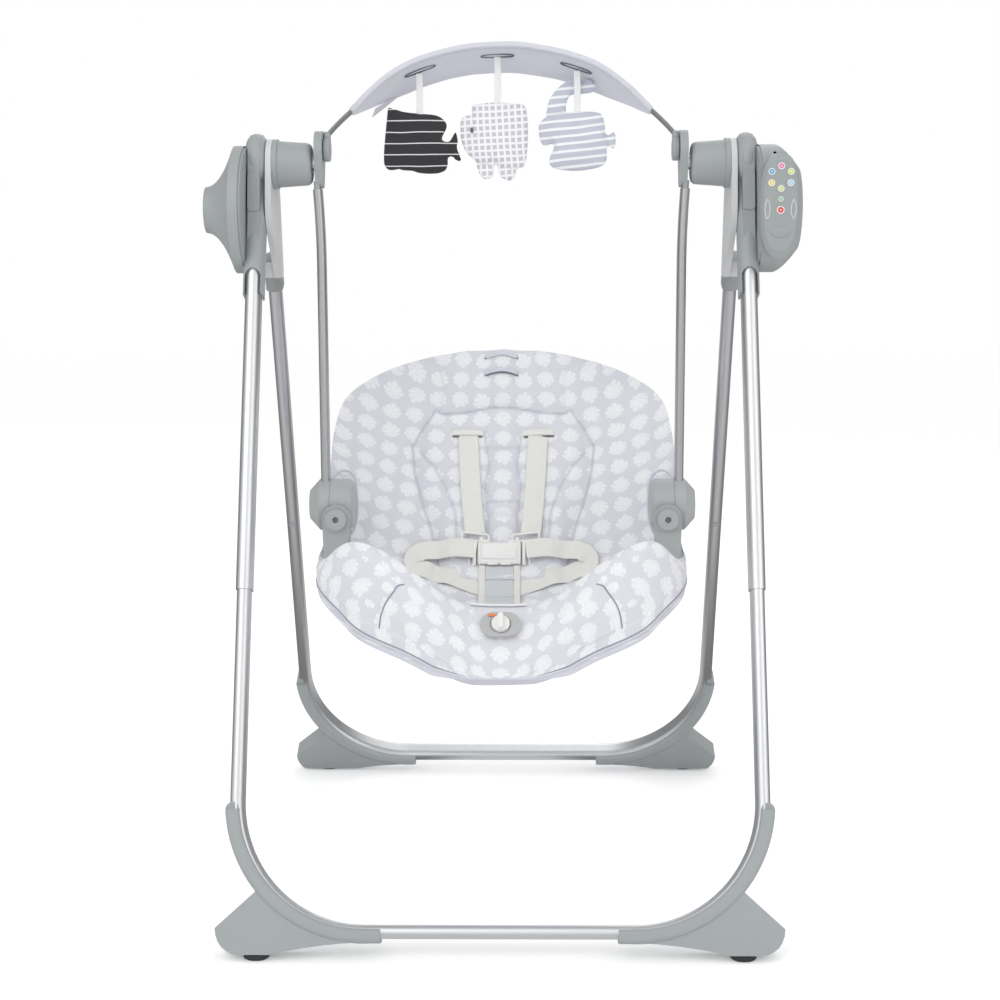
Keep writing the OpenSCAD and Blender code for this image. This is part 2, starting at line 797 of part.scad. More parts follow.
module seat_pad() {
    color(cloth) difference() {
        seat_slab(0, 1, -1, 1, -1, 1, [0, 0], [pad_t, 0], seat_rows, seat_cols);
        joint_clear(joint_r + 4);
        bracket_clear(1);
    }
}

module seat_shell() {
    row_step = 1 / seat_rows;
    shell_v = 1 - 2 / seat_cols;
    color(plastic) difference() {
        seat_slab(row_step, 1 - row_step, -shell_v, shell_v, -shell_v, shell_v,
            [pad_t + side_gap, 0], [pad_t + side_gap + shell_t, 0], seat_rows - 2, seat_cols - 2);
        joint_clear(joint_r + 4);
        bracket_clear(side_gap);
    }
}

module seat_sling() {
    color(cloth) difference() {
        seat_slab(0, 1, -1, 1, -1, 1, [-sling_t, 1], [0, 1], seat_rows, seat_cols);
        joint_clear(joint_r + 4);
        bracket_clear(1);
    }
}

// ---- harness ----
slot_u = 0.24;
buckle_u = 0.4;

module shoulder_straps() {
    color("ivory") both_sides()
        seat_slab(slot_u, buckle_u, 0.095, 0.168, 0.025, 0.098, [-side_gap - web_t, 0], [-side_gap, 0], 12, 2);
}

module lap_straps() {
    color("ivory") both_sides()
        seat_slab(buckle_u + 0.01, buckle_u + 0.045, 0.1, 0.29, 0.1, 0.29, [-side_gap - web_t, 0], [-side_gap, 0], 2, 8);
}

module crotch_strap() {
    color("silver")
        seat_slab(buckle_u + 0.05, 0.52, -0.055, 0.055, -0.055, 0.055, [-side_gap - 3, 0], [-side_gap, 0], 6, 2);
}

// places a flat part on the seat's middle line, facing the child
module on_seat(u, lift, tilt) {
    p = seat_point(u, 0, -lift, 0);
    translate(p) rotate([tilt, 0, 0]) children();
}

buckle_tilt = 61;
buckle_w = 60;
buckle_h = 28;
buckle_t = 11;

module buckle() {
    color("ivory") on_seat(buckle_u + 0.025, web_t - 0.5, buckle_tilt) difference() {
        union() {
            linear_extrude(buckle_t) rounded_rect(buckle_w, buckle_h, 6);
            linear_extrude(buckle_t - 3) rounded_rect(buckle_w + 10, buckle_h - 12, 5);
        }
        translate([0, buckle_h / 2, -1]) cylinder(r = 6, h = buckle_t + 2);
    }
}

knob_u = 0.82;
knob_tilt = 46;
knob_lift = 1.6;
bezel_w = 50;
bezel_h = 34;
bezel_t = 3;
knob_r = 11;

module knob_bezel() {
    color(plastic) on_seat(knob_u, knob_lift, knob_tilt) difference() {
        linear_extrude(bezel_t) oval(bezel_w, bezel_h);
        translate([0, 0, 1]) cylinder(r = knob_r + 2, h = bezel_t);
    }
}

module turn_knob() {
    color("white") on_seat(knob_u, knob_lift, knob_tilt) translate([0, 0, 1 + side_gap]) {
        cylinder(r = knob_r, h = 5);
        translate([0, 0, 5]) linear_extrude(7) rounded_rect(6, 2 * knob_r - 1, 2.8);
    }
}

// ---- toy bar ----
arch_half = 40.5;
rod_w = 30;
rod_t = 3;
end_w = 26;
toy_x = [for (share = [-0.377, -0.018, 0.348]) share * arch_r];

module in_arch() {
    translate([0, 0, pivot_z]) rotate([-arch_lean, 0, 0]) children();
}

// a stretch of the arch between two angles from its top
module arch_run(from, to, w, t) {
    translate([0, 0, -arch_drop]) rotate([90, 0, 0]) rotate([0, 0, 90 - to])
        rotate_extrude(angle = to - from, $fn = 128) translate([arch_r, 0]) square([t, w], center = true);
}

module toy_bar_rod() {
    color("gray") in_arch() arch_run(-arch_half - 4, arch_half + 4, rod_w, rod_t);
}

module toy_bar_cover() {
    color(cloth) in_arch() difference() {
        arch_run(-arch_half, arch_half, strip_w, strip_t);
        arch_run(-arch_half - 1, arch_half + 1, rod_w + 2 * fit_gap, rod_t + 2 * fit_gap);
    }
}

module toy_bar_ends() {
    disc_in = head_x - head_t / 2 - side_gap - disc_t;
    end_angle = asin((disc_in + 4) / arch_r);
    color(plastic) both_sides() in_arch() difference() {
        union() {
            translate([disc_in, 0, 0]) rotate([0, 90, 0]) cylinder(r = disc_r, h = disc_t);
            arch_run(arch_half + side_gap, end_angle, end_w, 10);
            translate([disc_in + 1, 1 - end_w / 2, 0]) cube([disc_t - 3, end_w - 2, arch_r * cos(end_angle) - arch_drop + 5]);
        }
        arch_run(arch_half, arch_half + 4 + fit_gap, rod_w, rod_t + 2 * fit_gap);
        translate([disc_in - 1, 0, 0]) rotate([0, 90, 0]) cylinder(r = pivot_pin_r + run_gap, h = disc_t + 2);
    }
}

// a toy hangs from a loop whose middle lies just under the strip
loop_r = 2;
strap_w = 8;
loop_room = loop_r + side_gap;
// how far the strap is sewn into the toy
strap_in = 14;

function strap_top(x) = let(
    h = sqrt(pow(arch_r - strip_t / 2, 2) - x * x) - arch_drop,
    slope = abs(x) / arch_r,
    drop = (loop_room + strap_w / 2 * slope) / (sqrt(1 - slope * slope) * cos(arch_lean))
) [x, h * sin(arch_lean), pivot_z + h * cos(arch_lean) - drop];

module toy_hang(x) {
    translate(strap_top(x)) {
        rotate([0, 90, 0]) cylinder(r = loop_r, h = strap_w, center = true);
        translate([-strap_w / 2, -0.8, -toy_strap - strap_in]) cube([strap_w, 1.6, toy_strap + strap_in - 1]);
        translate([0, 0, -toy_strap]) children();
    }
}

// stuffed shape through spots given as [x, y, z, radius]
module stuffed(spots) {
    hull() for (p = spots) translate([p[0], p[1], p[2]]) sphere(r = p[3], $fn = 18);
}

// dark fish-tailed toy
module toy_left() {
    color("dimgray") toy_hang(toy_x[0]) {
        stuffed([[-31, 0, -10, 12], [18, 0, -13, 12], [19, 0, -63, 12], [-33, 0, -65, 12]]);
        stuffed([[22, 2, -44, 8], [36, 3, -46, 6]]);
        stuffed([[36, 3, -46, 6], [45, 4, -33, 5]]);
        stuffed([[36, 3, -46, 6], [45, 4, -66, 5]]);
    }
}

// pale toy with a drooping head and two feet
module toy_middle() {
    color("whitesmoke") toy_hang(toy_x[1]) {
        stuffed([[-18, 0, -19, 12], [28, 0, -22, 12], [28, 0, -76, 12], [-5, 0, -76, 12]]);
        stuffed([[-36, -2, -36, 9], [-20, -2, -34, 9], [-28, -2, -56, 8], [-9, -2, -74, 8]]);
        stuffed([[-5, 0, -78, 9], [-5, -2, -88, 8]]);
        stuffed([[17, 0, -80, 9], [18, -2, -92, 8]]);
    }
}

// striped toy with a raised trunk, a snout and a short tail
module toy_right() {
    color("lightsteelblue") toy_hang(toy_x[2]) {
        stuffed([[-22, 0, -15, 12], [24, 0, -14, 12], [24, 0, -62, 12], [-20, 0, -62, 12]]);
        stuffed([[-24, 0, -20, 10], [-41, 0, -22, 9], [-40, 0, -32, 9], [-26, 0, -36, 10]]);
        stuffed([[34, 0, -28, 5], [44, 0, -28, 5], [43, 0, -38, 5]]);
        stuffed([[-24, 8, -8, 8], [-17, 8, 8, 7]]);
        stuffed([[-17, 8, 8, 7], [-2, 9, 17, 7]]);
        stuffed([[-2, 9, 17, 7], [17, 9, 17, 6]]);
    }
}

// ---- remote control ----
remote_back = dock_y - side_gap;
key_face = remote_back - remote_t;
key_ring_z = 34;
key_ring_r = 13.4;

function remote_outline(grow) = [
    for (a = [0:10:350]) [
        (remote_w / 2 + grow) * sign(cos(a)) * pow(abs(cos(a)), 0.78),
        (remote_h / 2 + grow) * sign(sin(a)) * pow(abs(sin(a)), 0.78)
    ]
];

module on_remote() {
    translate([remote_x, remote_back, remote_z]) rotate([90, 0, 0]) children();
}

// where each key lies on the remote's face
function key_at(k) = k < 6 ? [key_ring_r * sin(60 * k), key_ring_z + key_ring_r * cos(60 * k)]
    : k == 6 ? [0, 8] : [0, -5];

key_depth = 5;
light_r = 3.2;
power_r = 4.8;

function key_size(k) = k < 6 ? key_r : k == 6 ? light_r : power_r;

module remote_body() {
    edge = 5;
    color(plastic) on_remote() difference() {
        union() {
            linear_extrude(remote_t - edge) polygon(remote_outline(0));
            translate([0, 0, remote_t - edge]) linear_extrude(edge, scale = 0.86) polygon(remote_outline(0));
        }
        for (k = [0:7]) {
            translate([key_at(k).x, key_at(k).y, remote_t - key_depth]) cylinder(r = key_size(k) + fit_gap, h = 10);
        }
    }
}

module key(k, tint) {
    color(tint) on_remote() translate([key_at(k).x, key_at(k).y, remote_t - key_depth + key_travel + side_gap])
        cylinder(r = key_size(k), h = key_depth - side_gap + 0.2);
}

front_base_tube();
front_leg(-1);  // front_leg_left
front_leg(1);  // front_leg_right
front_foot(-1);  // front_foot_left
front_foot(1);  // front_foot_right
front_pads();
hub(-1);  // hub_left
hub(1);  // hub_right
hub_cover_left();
hub_cover_right();
axle_housings();
axle_bushes();
release_button(-1);  // release_button_left
release_button(1);  // release_button_right
battery_cells();
drive_coil();
rear_base_tube();
rear_leg(-1);  // rear_leg_left
rear_leg(1);  // rear_leg_right
rear_foot(-1);  // rear_foot_left
rear_foot(1);  // rear_foot_right
rear_pads();
rear_bracket(-1);  // rear_bracket_left
rear_bracket(1);  // rear_bracket_right
snap_button(-1);  // snap_button_left
snap_button(1);  // snap_button_right
swing_axles();
arm_heads();
swing_arm(-1);  // swing_arm_left
swing_arm(1);  // swing_arm_right
joint_outer(-1);  // joint_outer_left
joint_outer(1);  // joint_outer_right
drive_lever();
joint_inner(-1);  // joint_inner_left
joint_inner(1);  // joint_inner_right
joint_pins();
seat_shell();
seat_pad();
seat_sling();
shoulder_straps();
lap_straps();
crotch_strap();
buckle();
knob_bezel();
turn_knob();
toy_bar_ends();
toy_bar_rod();
toy_bar_cover();
toy_left();
toy_middle();
toy_right();
remote_body();
key(0, "hotpink");  // key_1
key(1, "greenyellow");  // key_2
key(2, "lightblue");  // key_3
key(3, "lightgreen");  // key_4
key(4, "gold");  // key_5
key(5, "deepskyblue");  // key_6
key(6, "green");  // key_light
key(7, "red");  // key_power
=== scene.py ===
import bpy
import bmesh
import numpy
import math
from mathutils import Matrix, Vector, noise


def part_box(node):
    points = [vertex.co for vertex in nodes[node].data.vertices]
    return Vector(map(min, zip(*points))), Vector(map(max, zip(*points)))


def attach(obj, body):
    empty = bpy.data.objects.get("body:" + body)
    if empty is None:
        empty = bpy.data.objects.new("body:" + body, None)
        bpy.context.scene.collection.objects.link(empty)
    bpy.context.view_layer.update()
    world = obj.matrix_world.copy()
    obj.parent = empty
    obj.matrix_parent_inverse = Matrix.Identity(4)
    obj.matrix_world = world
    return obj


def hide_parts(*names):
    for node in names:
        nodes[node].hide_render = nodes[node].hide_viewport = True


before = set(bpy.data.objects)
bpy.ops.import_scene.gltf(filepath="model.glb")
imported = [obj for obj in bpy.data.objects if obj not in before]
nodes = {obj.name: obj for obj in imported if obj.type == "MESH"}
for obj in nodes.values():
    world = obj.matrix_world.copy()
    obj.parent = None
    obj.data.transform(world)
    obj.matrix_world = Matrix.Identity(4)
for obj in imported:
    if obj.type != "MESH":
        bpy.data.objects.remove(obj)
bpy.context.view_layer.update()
print("frame loaded:", len(nodes), "nodes")


# ---- camera, floor and light ----
view = {"place": (0.030, -2.348, 0.869), "down": 9.54, "turn": 0.80, "roll": -0.18, "lens": 66.0}

camera = bpy.data.objects.new("camera", bpy.data.cameras.new("camera"))
bpy.context.collection.objects.link(camera)
camera.data.lens = view["lens"]
camera.data.sensor_width = 36
camera.data.clip_end = 50
camera.matrix_world = (
    Matrix.Translation(view["place"])
    @ Matrix.Rotation(math.radians(view["turn"]), 4, "Z")
    @ Matrix.Rotation(math.radians(90 - view["down"]), 4, "X")
    @ Matrix.Rotation(math.radians(view["roll"]), 4, "Z")
)
bpy.context.scene.camera = camera
bpy.context.scene.view_settings.view_transform = "Standard"

light = {"sky": 0.80, "floorWhite": 0.93, "floorGlow": 0.24}


def lamp(name, place, aim, size, power):
    item = bpy.data.objects.new(name, bpy.data.lights.new(name, "AREA"))
    bpy.context.collection.objects.link(item)
    item.data.size = size
    item.data.energy = power
    item.location = place
    item.rotation_euler = (Vector(aim) - Vector(place)).to_track_quat("-Z", "Y").to_euler()
    return item


def darkSides(tree, direction):
    # the studio's dark flags behind and beside the object, as a share from 0 to 1
    flat = add(tree, "VectorMath", {"operation": "MULTIPLY"}, at0=direction, at1=(1, 1, 0)).outputs[0]
    unit = add(tree, "VectorMath", {"operation": "NORMALIZE"}, at0=flat).outputs[0]
    parts = add(tree, "SeparateXYZ", Vector=unit)
    behind = smoothRange(tree, parts.outputs[1], -0.45, 0.2)
    beside = smoothRange(tree, calc(tree, "ABSOLUTE", parts.outputs[0]), 0.16, 0.4)
    return calc(tree, "MULTIPLY", behind, beside)


def lightTheRoom():
    world = bpy.data.worlds.new("studio")
    bpy.context.scene.world = world
    world.use_nodes = True
    tree = world.node_tree
    tree.nodes.clear()
    path = add(tree, "LightPath")
    direction = add(tree, "TexCoord").outputs["Generated"]
    soft = add(tree, "Background", Color=(1, 1, 1, 1), Strength=light["sky"])
    white = add(tree, "Background", Color=(1, 1, 1, 1), Strength=1.0)
    dim = calc(tree, "SUBTRACT", 1.0, calc(tree, "MULTIPLY", darkSides(tree, direction), 0.72))
    flags = add(tree, "Background", Color=(1, 1, 1, 1), Strength=dim)
    seen = calc(tree, "MAXIMUM", path.outputs["Is Camera Ray"], path.outputs["Is Transmission Ray"])
    first = add(tree, "MixShader", at0=path.outputs["Is Glossy Ray"], at1=soft.outputs[0], at2=flags.outputs[0])
    second = add(tree, "MixShader", at0=seen, at1=first.outputs[0], at2=white.outputs[0])
    add(tree, "OutputWorld", Surface=second.outputs[0])
    lamp("key", (-1.6, -2.6, 2.6), (0, 0, 0.5), 2.4, 30)
    lamp("fill", (2.2, -1.6, 1.6), (0, 0, 0.5), 2.0, 11)
    lamp("rear", (0.6, 2.6, 2.4), (0, 0, 0.6), 2.0, 14)


def layFloor():
    bm = bmesh.new()
    bmesh.ops.create_grid(bm, x_segments=4, y_segments=4, size=40)
    floor = putInScene("floor", bm)
    mat, tree, shader = finish("paleFloor", (light["floorWhite"],) * 3, 0.9)
    path = add(tree, "LightPath")
    place = add(tree, "TexCoord").outputs["Object"]
    far = smoothRange(tree, add(tree, "VectorMath", {"operation": "LENGTH"}, at0=place).outputs["Value"], 3.0, 9.0)
    glow = add(tree, "Emission", Color=(1, 1, 1, 1), Strength=light["floorGlow"])
    both = add(tree, "AddShader", at0=shader.outputs[0], at1=glow.outputs[0])
    white = add(tree, "Emission", Color=(1, 1, 1, 1), Strength=1.0)
    near = add(tree, "MixShader", at0=far, at1=both.outputs[0], at2=white.outputs[0])
    dim = calc(tree, "SUBTRACT", 0.74, calc(tree, "MULTIPLY", darkSides(tree, place), 0.5))
    mirrored = add(tree, "Emission", Color=(1, 1, 1, 1), Strength=dim)
    first = add(tree, "MixShader", at0=path.outputs["Is Glossy Ray"], at1=shader.outputs[0], at2=mirrored.outputs[0])
    second = add(tree, "MixShader", at0=path.outputs["Is Camera Ray"], at1=first.outputs[0], at2=near.outputs[0])
    tree.links.new(second.outputs[0], tree.nodes["Material Output"].inputs["Surface"])
    floor.data.materials.append(mat)


# ---- small tools ----
def putInScene(name, bm, recalc=True):
    if recalc:
        bmesh.ops.recalc_face_normals(bm, faces=bm.faces[:])
    mesh = bpy.data.meshes.new(name)
    bm.to_mesh(mesh)
    bm.free()
    for poly in mesh.polygons:
        poly.use_smooth = True
    piece = bpy.data.objects.new(name, mesh)
    bpy.context.collection.objects.link(piece)
    return piece


def bake(piece):
    # the mesh as its modifiers leave it, with none of them left on the piece
    graph = bpy.context.evaluated_depsgraph_get()
    graph.update()
    mesh = bpy.data.meshes.new_from_object(piece.evaluated_get(graph), preserve_all_data_layers=True, depsgraph=graph)
    piece.modifiers.clear()
    piece.data = mesh
    return piece


def finishPiece(piece, mat, body, levels=0):
    if mat.name not in [m.name for m in piece.data.materials if m]:
        piece.data.materials.append(mat)
    if levels:
        mod = piece.modifiers.new("smooth", "SUBSURF")
        mod.levels = levels
        mod.render_levels = levels
    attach(piece, body)
    return piece


def addModifiers(piece, kinds):
    for kind, settings in kinds:
        mod = piece.modifiers.new(kind.lower(), kind)
        for key, value in settings.items():
            setattr(mod, key, value)


def tube(name, points, radius, closed=False):
    # a round tube along points, as a mesh
    curve = bpy.data.curves.new(name, "CURVE")
    curve.dimensions = "3D"
    curve.bevel_depth = radius
    curve.bevel_resolution = 3
    curve.use_fill_caps = not closed
    line = curve.splines.new("POLY")
    line.points.add(len(points) - 1)
    for spot, p in zip(line.points, points):
        spot.co = (*p, 1)
    line.use_cyclic_u = closed
    item = bpy.data.objects.new(name, curve)
    bpy.context.collection.objects.link(item)
    graph = bpy.context.evaluated_depsgraph_get()
    graph.update()
    mesh = bpy.data.meshes.new_from_object(item.evaluated_get(graph), depsgraph=graph)
    bpy.data.objects.remove(item)
    bpy.data.curves.remove(curve)
    for poly in mesh.polygons:
        poly.use_smooth = True
    piece = bpy.data.objects.new(name, mesh)
    bpy.context.collection.objects.link(piece)
    return piece


def spline(points, t):
    # a smooth curve through all points, t from 0 to 1
    n = len(points) - 1
    i = min(n - 1, max(0, int(math.floor(t * n))))
    f = t * n - i
    a, b, c, d = (points[max(0, min(n, i + k))] for k in (-1, 0, 1, 2))
    if not isinstance(b, (int, float)):
        a, b, c, d = Vector(a), Vector(b), Vector(c), Vector(d)
    return 0.5 * (2 * b + (c - a) * f + (2 * a - 5 * b + 4 * c - d) * f ** 2 + (3 * b - a - 3 * c + d) * f ** 3)


def stepBetween(low, high, x):
    t = max(0.0, min(1.0, (x - low) / (high - low)))
    return t * t * (3 - 2 * t)


# ---- finishes ----
def finish(name, colour, rough, metal=0.0):
    mat = bpy.data.materials.new(name)
    mat.use_nodes = True
    tree = mat.node_tree
    shader = tree.nodes["Principled BSDF"]
    shader.inputs["Base Color"].default_value = (*colour, 1)
    shader.inputs["Roughness"].default_value = rough
    shader.inputs["Metallic"].default_value = metal
    return mat, tree, shader


def add(tree, kind, settings=None, **inputs):
    made = tree.nodes.new("ShaderNode" + kind)
    for key, value in (settings or {}).items():
        setattr(made, key, value)
    for key, value in inputs.items():
        socket = made.inputs[int(key[2:])] if key.startswith("at") else made.inputs[key]
        if isinstance(value, bpy.types.NodeSocket):
            tree.links.new(value, socket)
        else:
            socket.default_value = value
    return made


def calc(tree, operation, a, b=0.0, c=0.0):
    return add(tree, "Math", {"operation": operation}, at0=a, at1=b, at2=c).outputs[0]


def smoothRange(tree, value, low, high):
    return add(tree, "MapRange", {"interpolation_type": "SMOOTHSTEP"}, Value=value, at1=low, at2=high).outputs[0]


def surfacePlace(tree, scale=(1, 1, 1), turn=(0, 0, 0), cloth=False):
    if cloth:
        place = add(tree, "UVMap", {"uv_map": "cloth"}).outputs[0]
    else:
        place = add(tree, "TexCoord").outputs["Object"]
    return add(tree, "Mapping", Vector=place, Scale=scale, Rotation=turn).outputs[0]


def blendColours(tree, share, first, second):
    mixer = add(tree, "Mix", {"data_type": "RGBA"})
    for key, value in ((0, share), (6, first), (7, second)):
        if isinstance(value, bpy.types.NodeSocket):
            tree.links.new(value, mixer.inputs[key])
        else:
            mixer.inputs[key].default_value = value if key == 0 else (*value, 1)
    return mixer.outputs[2]


def shade(colour, k):
    return tuple(min(1.0, c * k) for c in colour)


def bump(tree, shader, height, strength, depth):
    made = add(tree, "Bump", Height=height, Strength=strength, Distance=depth)
    tree.links.new(made.outputs[0], shader.inputs["Normal"])
    return made


def mouldedPlastic(name, colour, rough=0.48, grain=0.06, grainSize=900):
    # fine spark-eroded grain, a faint cloudiness and slightly paler wear
    mat, tree, shader = finish(name, colour, rough)
    place = surfacePlace(tree)
    cloud = add(tree, "TexNoise", Vector=place, Scale=9.0, Detail=3.0).outputs[0]
    fine = add(tree, "TexNoise", Vector=place, Scale=float(grainSize), Detail=2.0).outputs[0]
    tone = blendColours(tree, cloud, shade(colour, 0.95), shade(colour, 1.05))
    tree.links.new(tone, shader.inputs["Base Color"])
    gloss = add(tree, "MapRange", Value=cloud, at3=rough - 0.05, at4=rough + 0.07).outputs[0]
    tree.links.new(gloss, shader.inputs["Roughness"])
    bump(tree, shader, fine, grain, 0.0004)
    return mat


def satinTube(name, colour, rough, stretch):
    # drawn metal: faint lines along the tube, stretch gives the line direction
    mat, tree, shader = finish(name, colour, rough, 1.0)
    lines = add(tree, "TexNoise", Vector=surfacePlace(tree, stretch), Scale=1.0, Detail=4.0).outputs[0]
    cloud = add(tree, "TexNoise", Vector=surfacePlace(tree), Scale=5.0, Detail=2.0).outputs[0]
    tone = blendColours(tree, cloud, shade(colour, 0.96), shade(colour, 1.04))
    tree.links.new(tone, shader.inputs["Base Color"])
    tree.links.new(add(tree, "MapRange", Value=lines, at3=rough - 0.06, at4=rough + 0.1).outputs[0], shader.inputs["Roughness"])
    bump(tree, shader, lines, 0.03, 0.0003)
    return mat


def weaveHeight(tree, place, threads):
    parts = add(tree, "SeparateXYZ", Vector=place)
    a = calc(tree, "SINE", calc(tree, "MULTIPLY", parts.outputs[0], threads))
    b = calc(tree, "SINE", calc(tree, "MULTIPLY", parts.outputs[1], threads))
    return calc(tree, "MULTIPLY", a, b)


plainWeave = {"threads": 7000.0, "rough": 0.92}


def plainCloth(name, colour, cloth=False):
    mat, tree, shader = finish(name, colour, plainWeave["rough"])
    place = surfacePlace(tree, cloth=cloth)
    cloud = add(tree, "TexNoise", Vector=place, Scale=26.0, Detail=4.0).outputs[0]
    tone = blendColours(tree, cloud, shade(colour, 0.96), shade(colour, 1.04))
    # on pieces with a cloth map, the shade attribute darkens the colour to half: painted shade in folds and seams
    if cloth:
        tone = blendColours(tree, add(tree, "Attribute", {"attribute_name": "paintedShade"}).outputs["Fac"], tone, shade(colour, 0.5))
    tree.links.new(tone, shader.inputs["Base Color"])
    fluff = add(tree, "TexNoise", Vector=place, Scale=1400.0, Detail=2.0).outputs[0]
    both = calc(tree, "ADD", calc(tree, "MULTIPLY", weaveHeight(tree, place, plainWeave["threads"]), 0.5), fluff)
    bump(tree, shader, both, 0.25, 0.0004)
    shader.inputs["Sheen Weight"].default_value = 0.15
    shader.inputs["Sheen Roughness"].default_value = 0.5
    return mat


leafPrint = {"pitch": (0.0312, 0.0268), "leaf": 0.42, "ground": (0.715, 0.722, 0.772), "leafWhite": (0.865, 0.872, 0.90)}
# dark lavender painted shade laid along the quilting seams
paintedSeamShade = (0.40, 0.41, 0.50)


def leafCloth(name):
    # cotton with rows of split leaves, every other column upside down
    mat, tree, shader = finish(name, leafPrint["ground"], 0.9)
    flat = surfacePlace(tree, cloth=True)
    wander = add(tree, "TexNoise", Vector=flat, Scale=9.0, Detail=1.0).outputs["Color"]
    shift = add(tree, "VectorMath", {"operation": "MULTIPLY_ADD"}, at0=wander, at1=(0.006, 0.006, 0), at2=flat).outputs[0]
    perMetre = (1 / leafPrint["pitch"][0], 1 / leafPrint["pitch"][1], 0)
    squares = add(tree, "VectorMath", {"operation": "MULTIPLY_ADD"}, at0=shift, at1=perMetre, at2=(0.4, 0, 0)).outputs[0]
    cell = add(tree, "VectorMath", {"operation": "FLOOR"}, at0=squares).outputs[0]
    inside = add(tree, "VectorMath", {"operation": "SUBTRACT"}, at0=squares, at1=cell).outputs[0]
    centred = add(tree, "VectorMath", {"operation": "SUBTRACT"}, at0=inside, at1=(0.5, 0.5, 0)).outputs[0]
    luck = add(tree, "TexWhiteNoise", {"noise_dimensions": "3D"}, Vector=cell).outputs[0]
    column = add(tree, "SeparateXYZ", Vector=cell).outputs[0]
    flip = calc(tree, "MULTIPLY", calc(tree, "PINGPONG", column, 1.0), math.pi)
    lean = calc(tree, "MULTIPLY_ADD", calc(tree, "SUBTRACT", luck, 0.5), 0.9, flip)
    turned = add(tree, "VectorRotate", {"rotation_type": "Z_AXIS"}, Vector=centred, Angle=lean).outputs[0]
    scaled = add(tree, "VectorMath", {"operation": "SCALE"}, Vector=turned, Scale=1 / leafPrint["leaf"]).outputs[0]
    leaf = add(tree, "SeparateXYZ", Vector=scaled)
    x, y = leaf.outputs[0], leaf.outputs[1]
    wide = calc(tree, "ABSOLUTE", x)
    low = calc(tree, "MAXIMUM", calc(tree, "MULTIPLY", y, -1.0), 0.0)
    reach = calc(tree, "SQRT", calc(tree, "ADD", calc(tree, "MULTIPLY", x, x), calc(tree, "MULTIPLY", y, y)))
    point = calc(tree, "MULTIPLY", calc(tree, "MULTIPLY", wide, low), 0.5)
    angle = calc(tree, "ARCTAN2", wide, calc(tree, "SUBTRACT", 0.5, y))
    lobes = calc(tree, "COSINE", calc(tree, "MULTIPLY", angle, 11.0))
    outline = calc(tree, "ADD", calc(tree, "ADD", reach, point), calc(tree, "MULTIPLY", lobes, -0.05))
    body = smoothRange(tree, outline, 1.0, 0.9)
    split = smoothRange(tree, lobes, -0.62, -0.92)
    outer = smoothRange(tree, reach, 0.42, 0.62)
    rib = smoothRange(tree, wide, 0.05, 0.015)
    cut = calc(tree, "MAXIMUM", calc(tree, "MULTIPLY", split, outer), calc(tree, "MULTIPLY", rib, 0.4))
    shape = calc(tree, "MULTIPLY", body, calc(tree, "SUBTRACT", 1.0, calc(tree, "MULTIPLY", cut, 0.72)))
    printed = calc(tree, "MULTIPLY", shape, calc(tree, "SUBTRACT", 1.0, add(tree, "Attribute", {"attribute_name": "bare"}).outputs["Fac"]))
    cloud = add(tree, "TexNoise", Vector=flat, Scale=30.0, Detail=4.0).outputs[0]
    ground = blendColours(tree, cloud, shade(leafPrint["ground"], 0.97), shade(leafPrint["ground"], 1.03))
    tone = blendColours(tree, printed, ground, leafPrint["leafWhite"])
    # painted seam shade: the per-point shade attribute blends the print towards a dark lavender
    paintedShade = add(tree, "Attribute", {"attribute_name": "paintedShade"}).outputs["Fac"]
    tree.links.new(blendColours(tree, paintedShade, tone, paintedSeamShade), shader.inputs["Base Color"])
    fluff = add(tree, "TexNoise", Vector=flat, Scale=1500.0, Detail=2.0).outputs[0]
    both = calc(tree, "ADD", calc(tree, "MULTIPLY", weaveHeight(tree, flat, 7000.0), 0.5), fluff)
    bump(tree, shader, both, 0.2, 0.0004)
    shader.inputs["Sheen Weight"].default_value = 0.15
    return mat


def ribbedWebbing(name, colour):
    # woven tape: ribs across the strap and a soft edge
    mat, tree, shader = finish(name, colour, 0.8)
    flat = surfacePlace(tree, cloth=True)
    parts = add(tree, "SeparateXYZ", Vector=flat)
    ribs = calc(tree, "SINE", calc(tree, "MULTIPLY", parts.outputs[1], 6500.0))
    warp = calc(tree, "SINE", calc(tree, "MULTIPLY", parts.outputs[0], 3800.0))
    cloud = add(tree, "TexNoise", Vector=flat, Scale=60.0, Detail=3.0).outputs[0]
    tree.links.new(blendColours(tree, cloud, shade(colour, 0.95), shade(colour, 1.04)), shader.inputs["Base Color"])
    bump(tree, shader, calc(tree, "ADD", ribs, calc(tree, "MULTIPLY", warp, 0.6)), 0.22, 0.0004)
    return mat


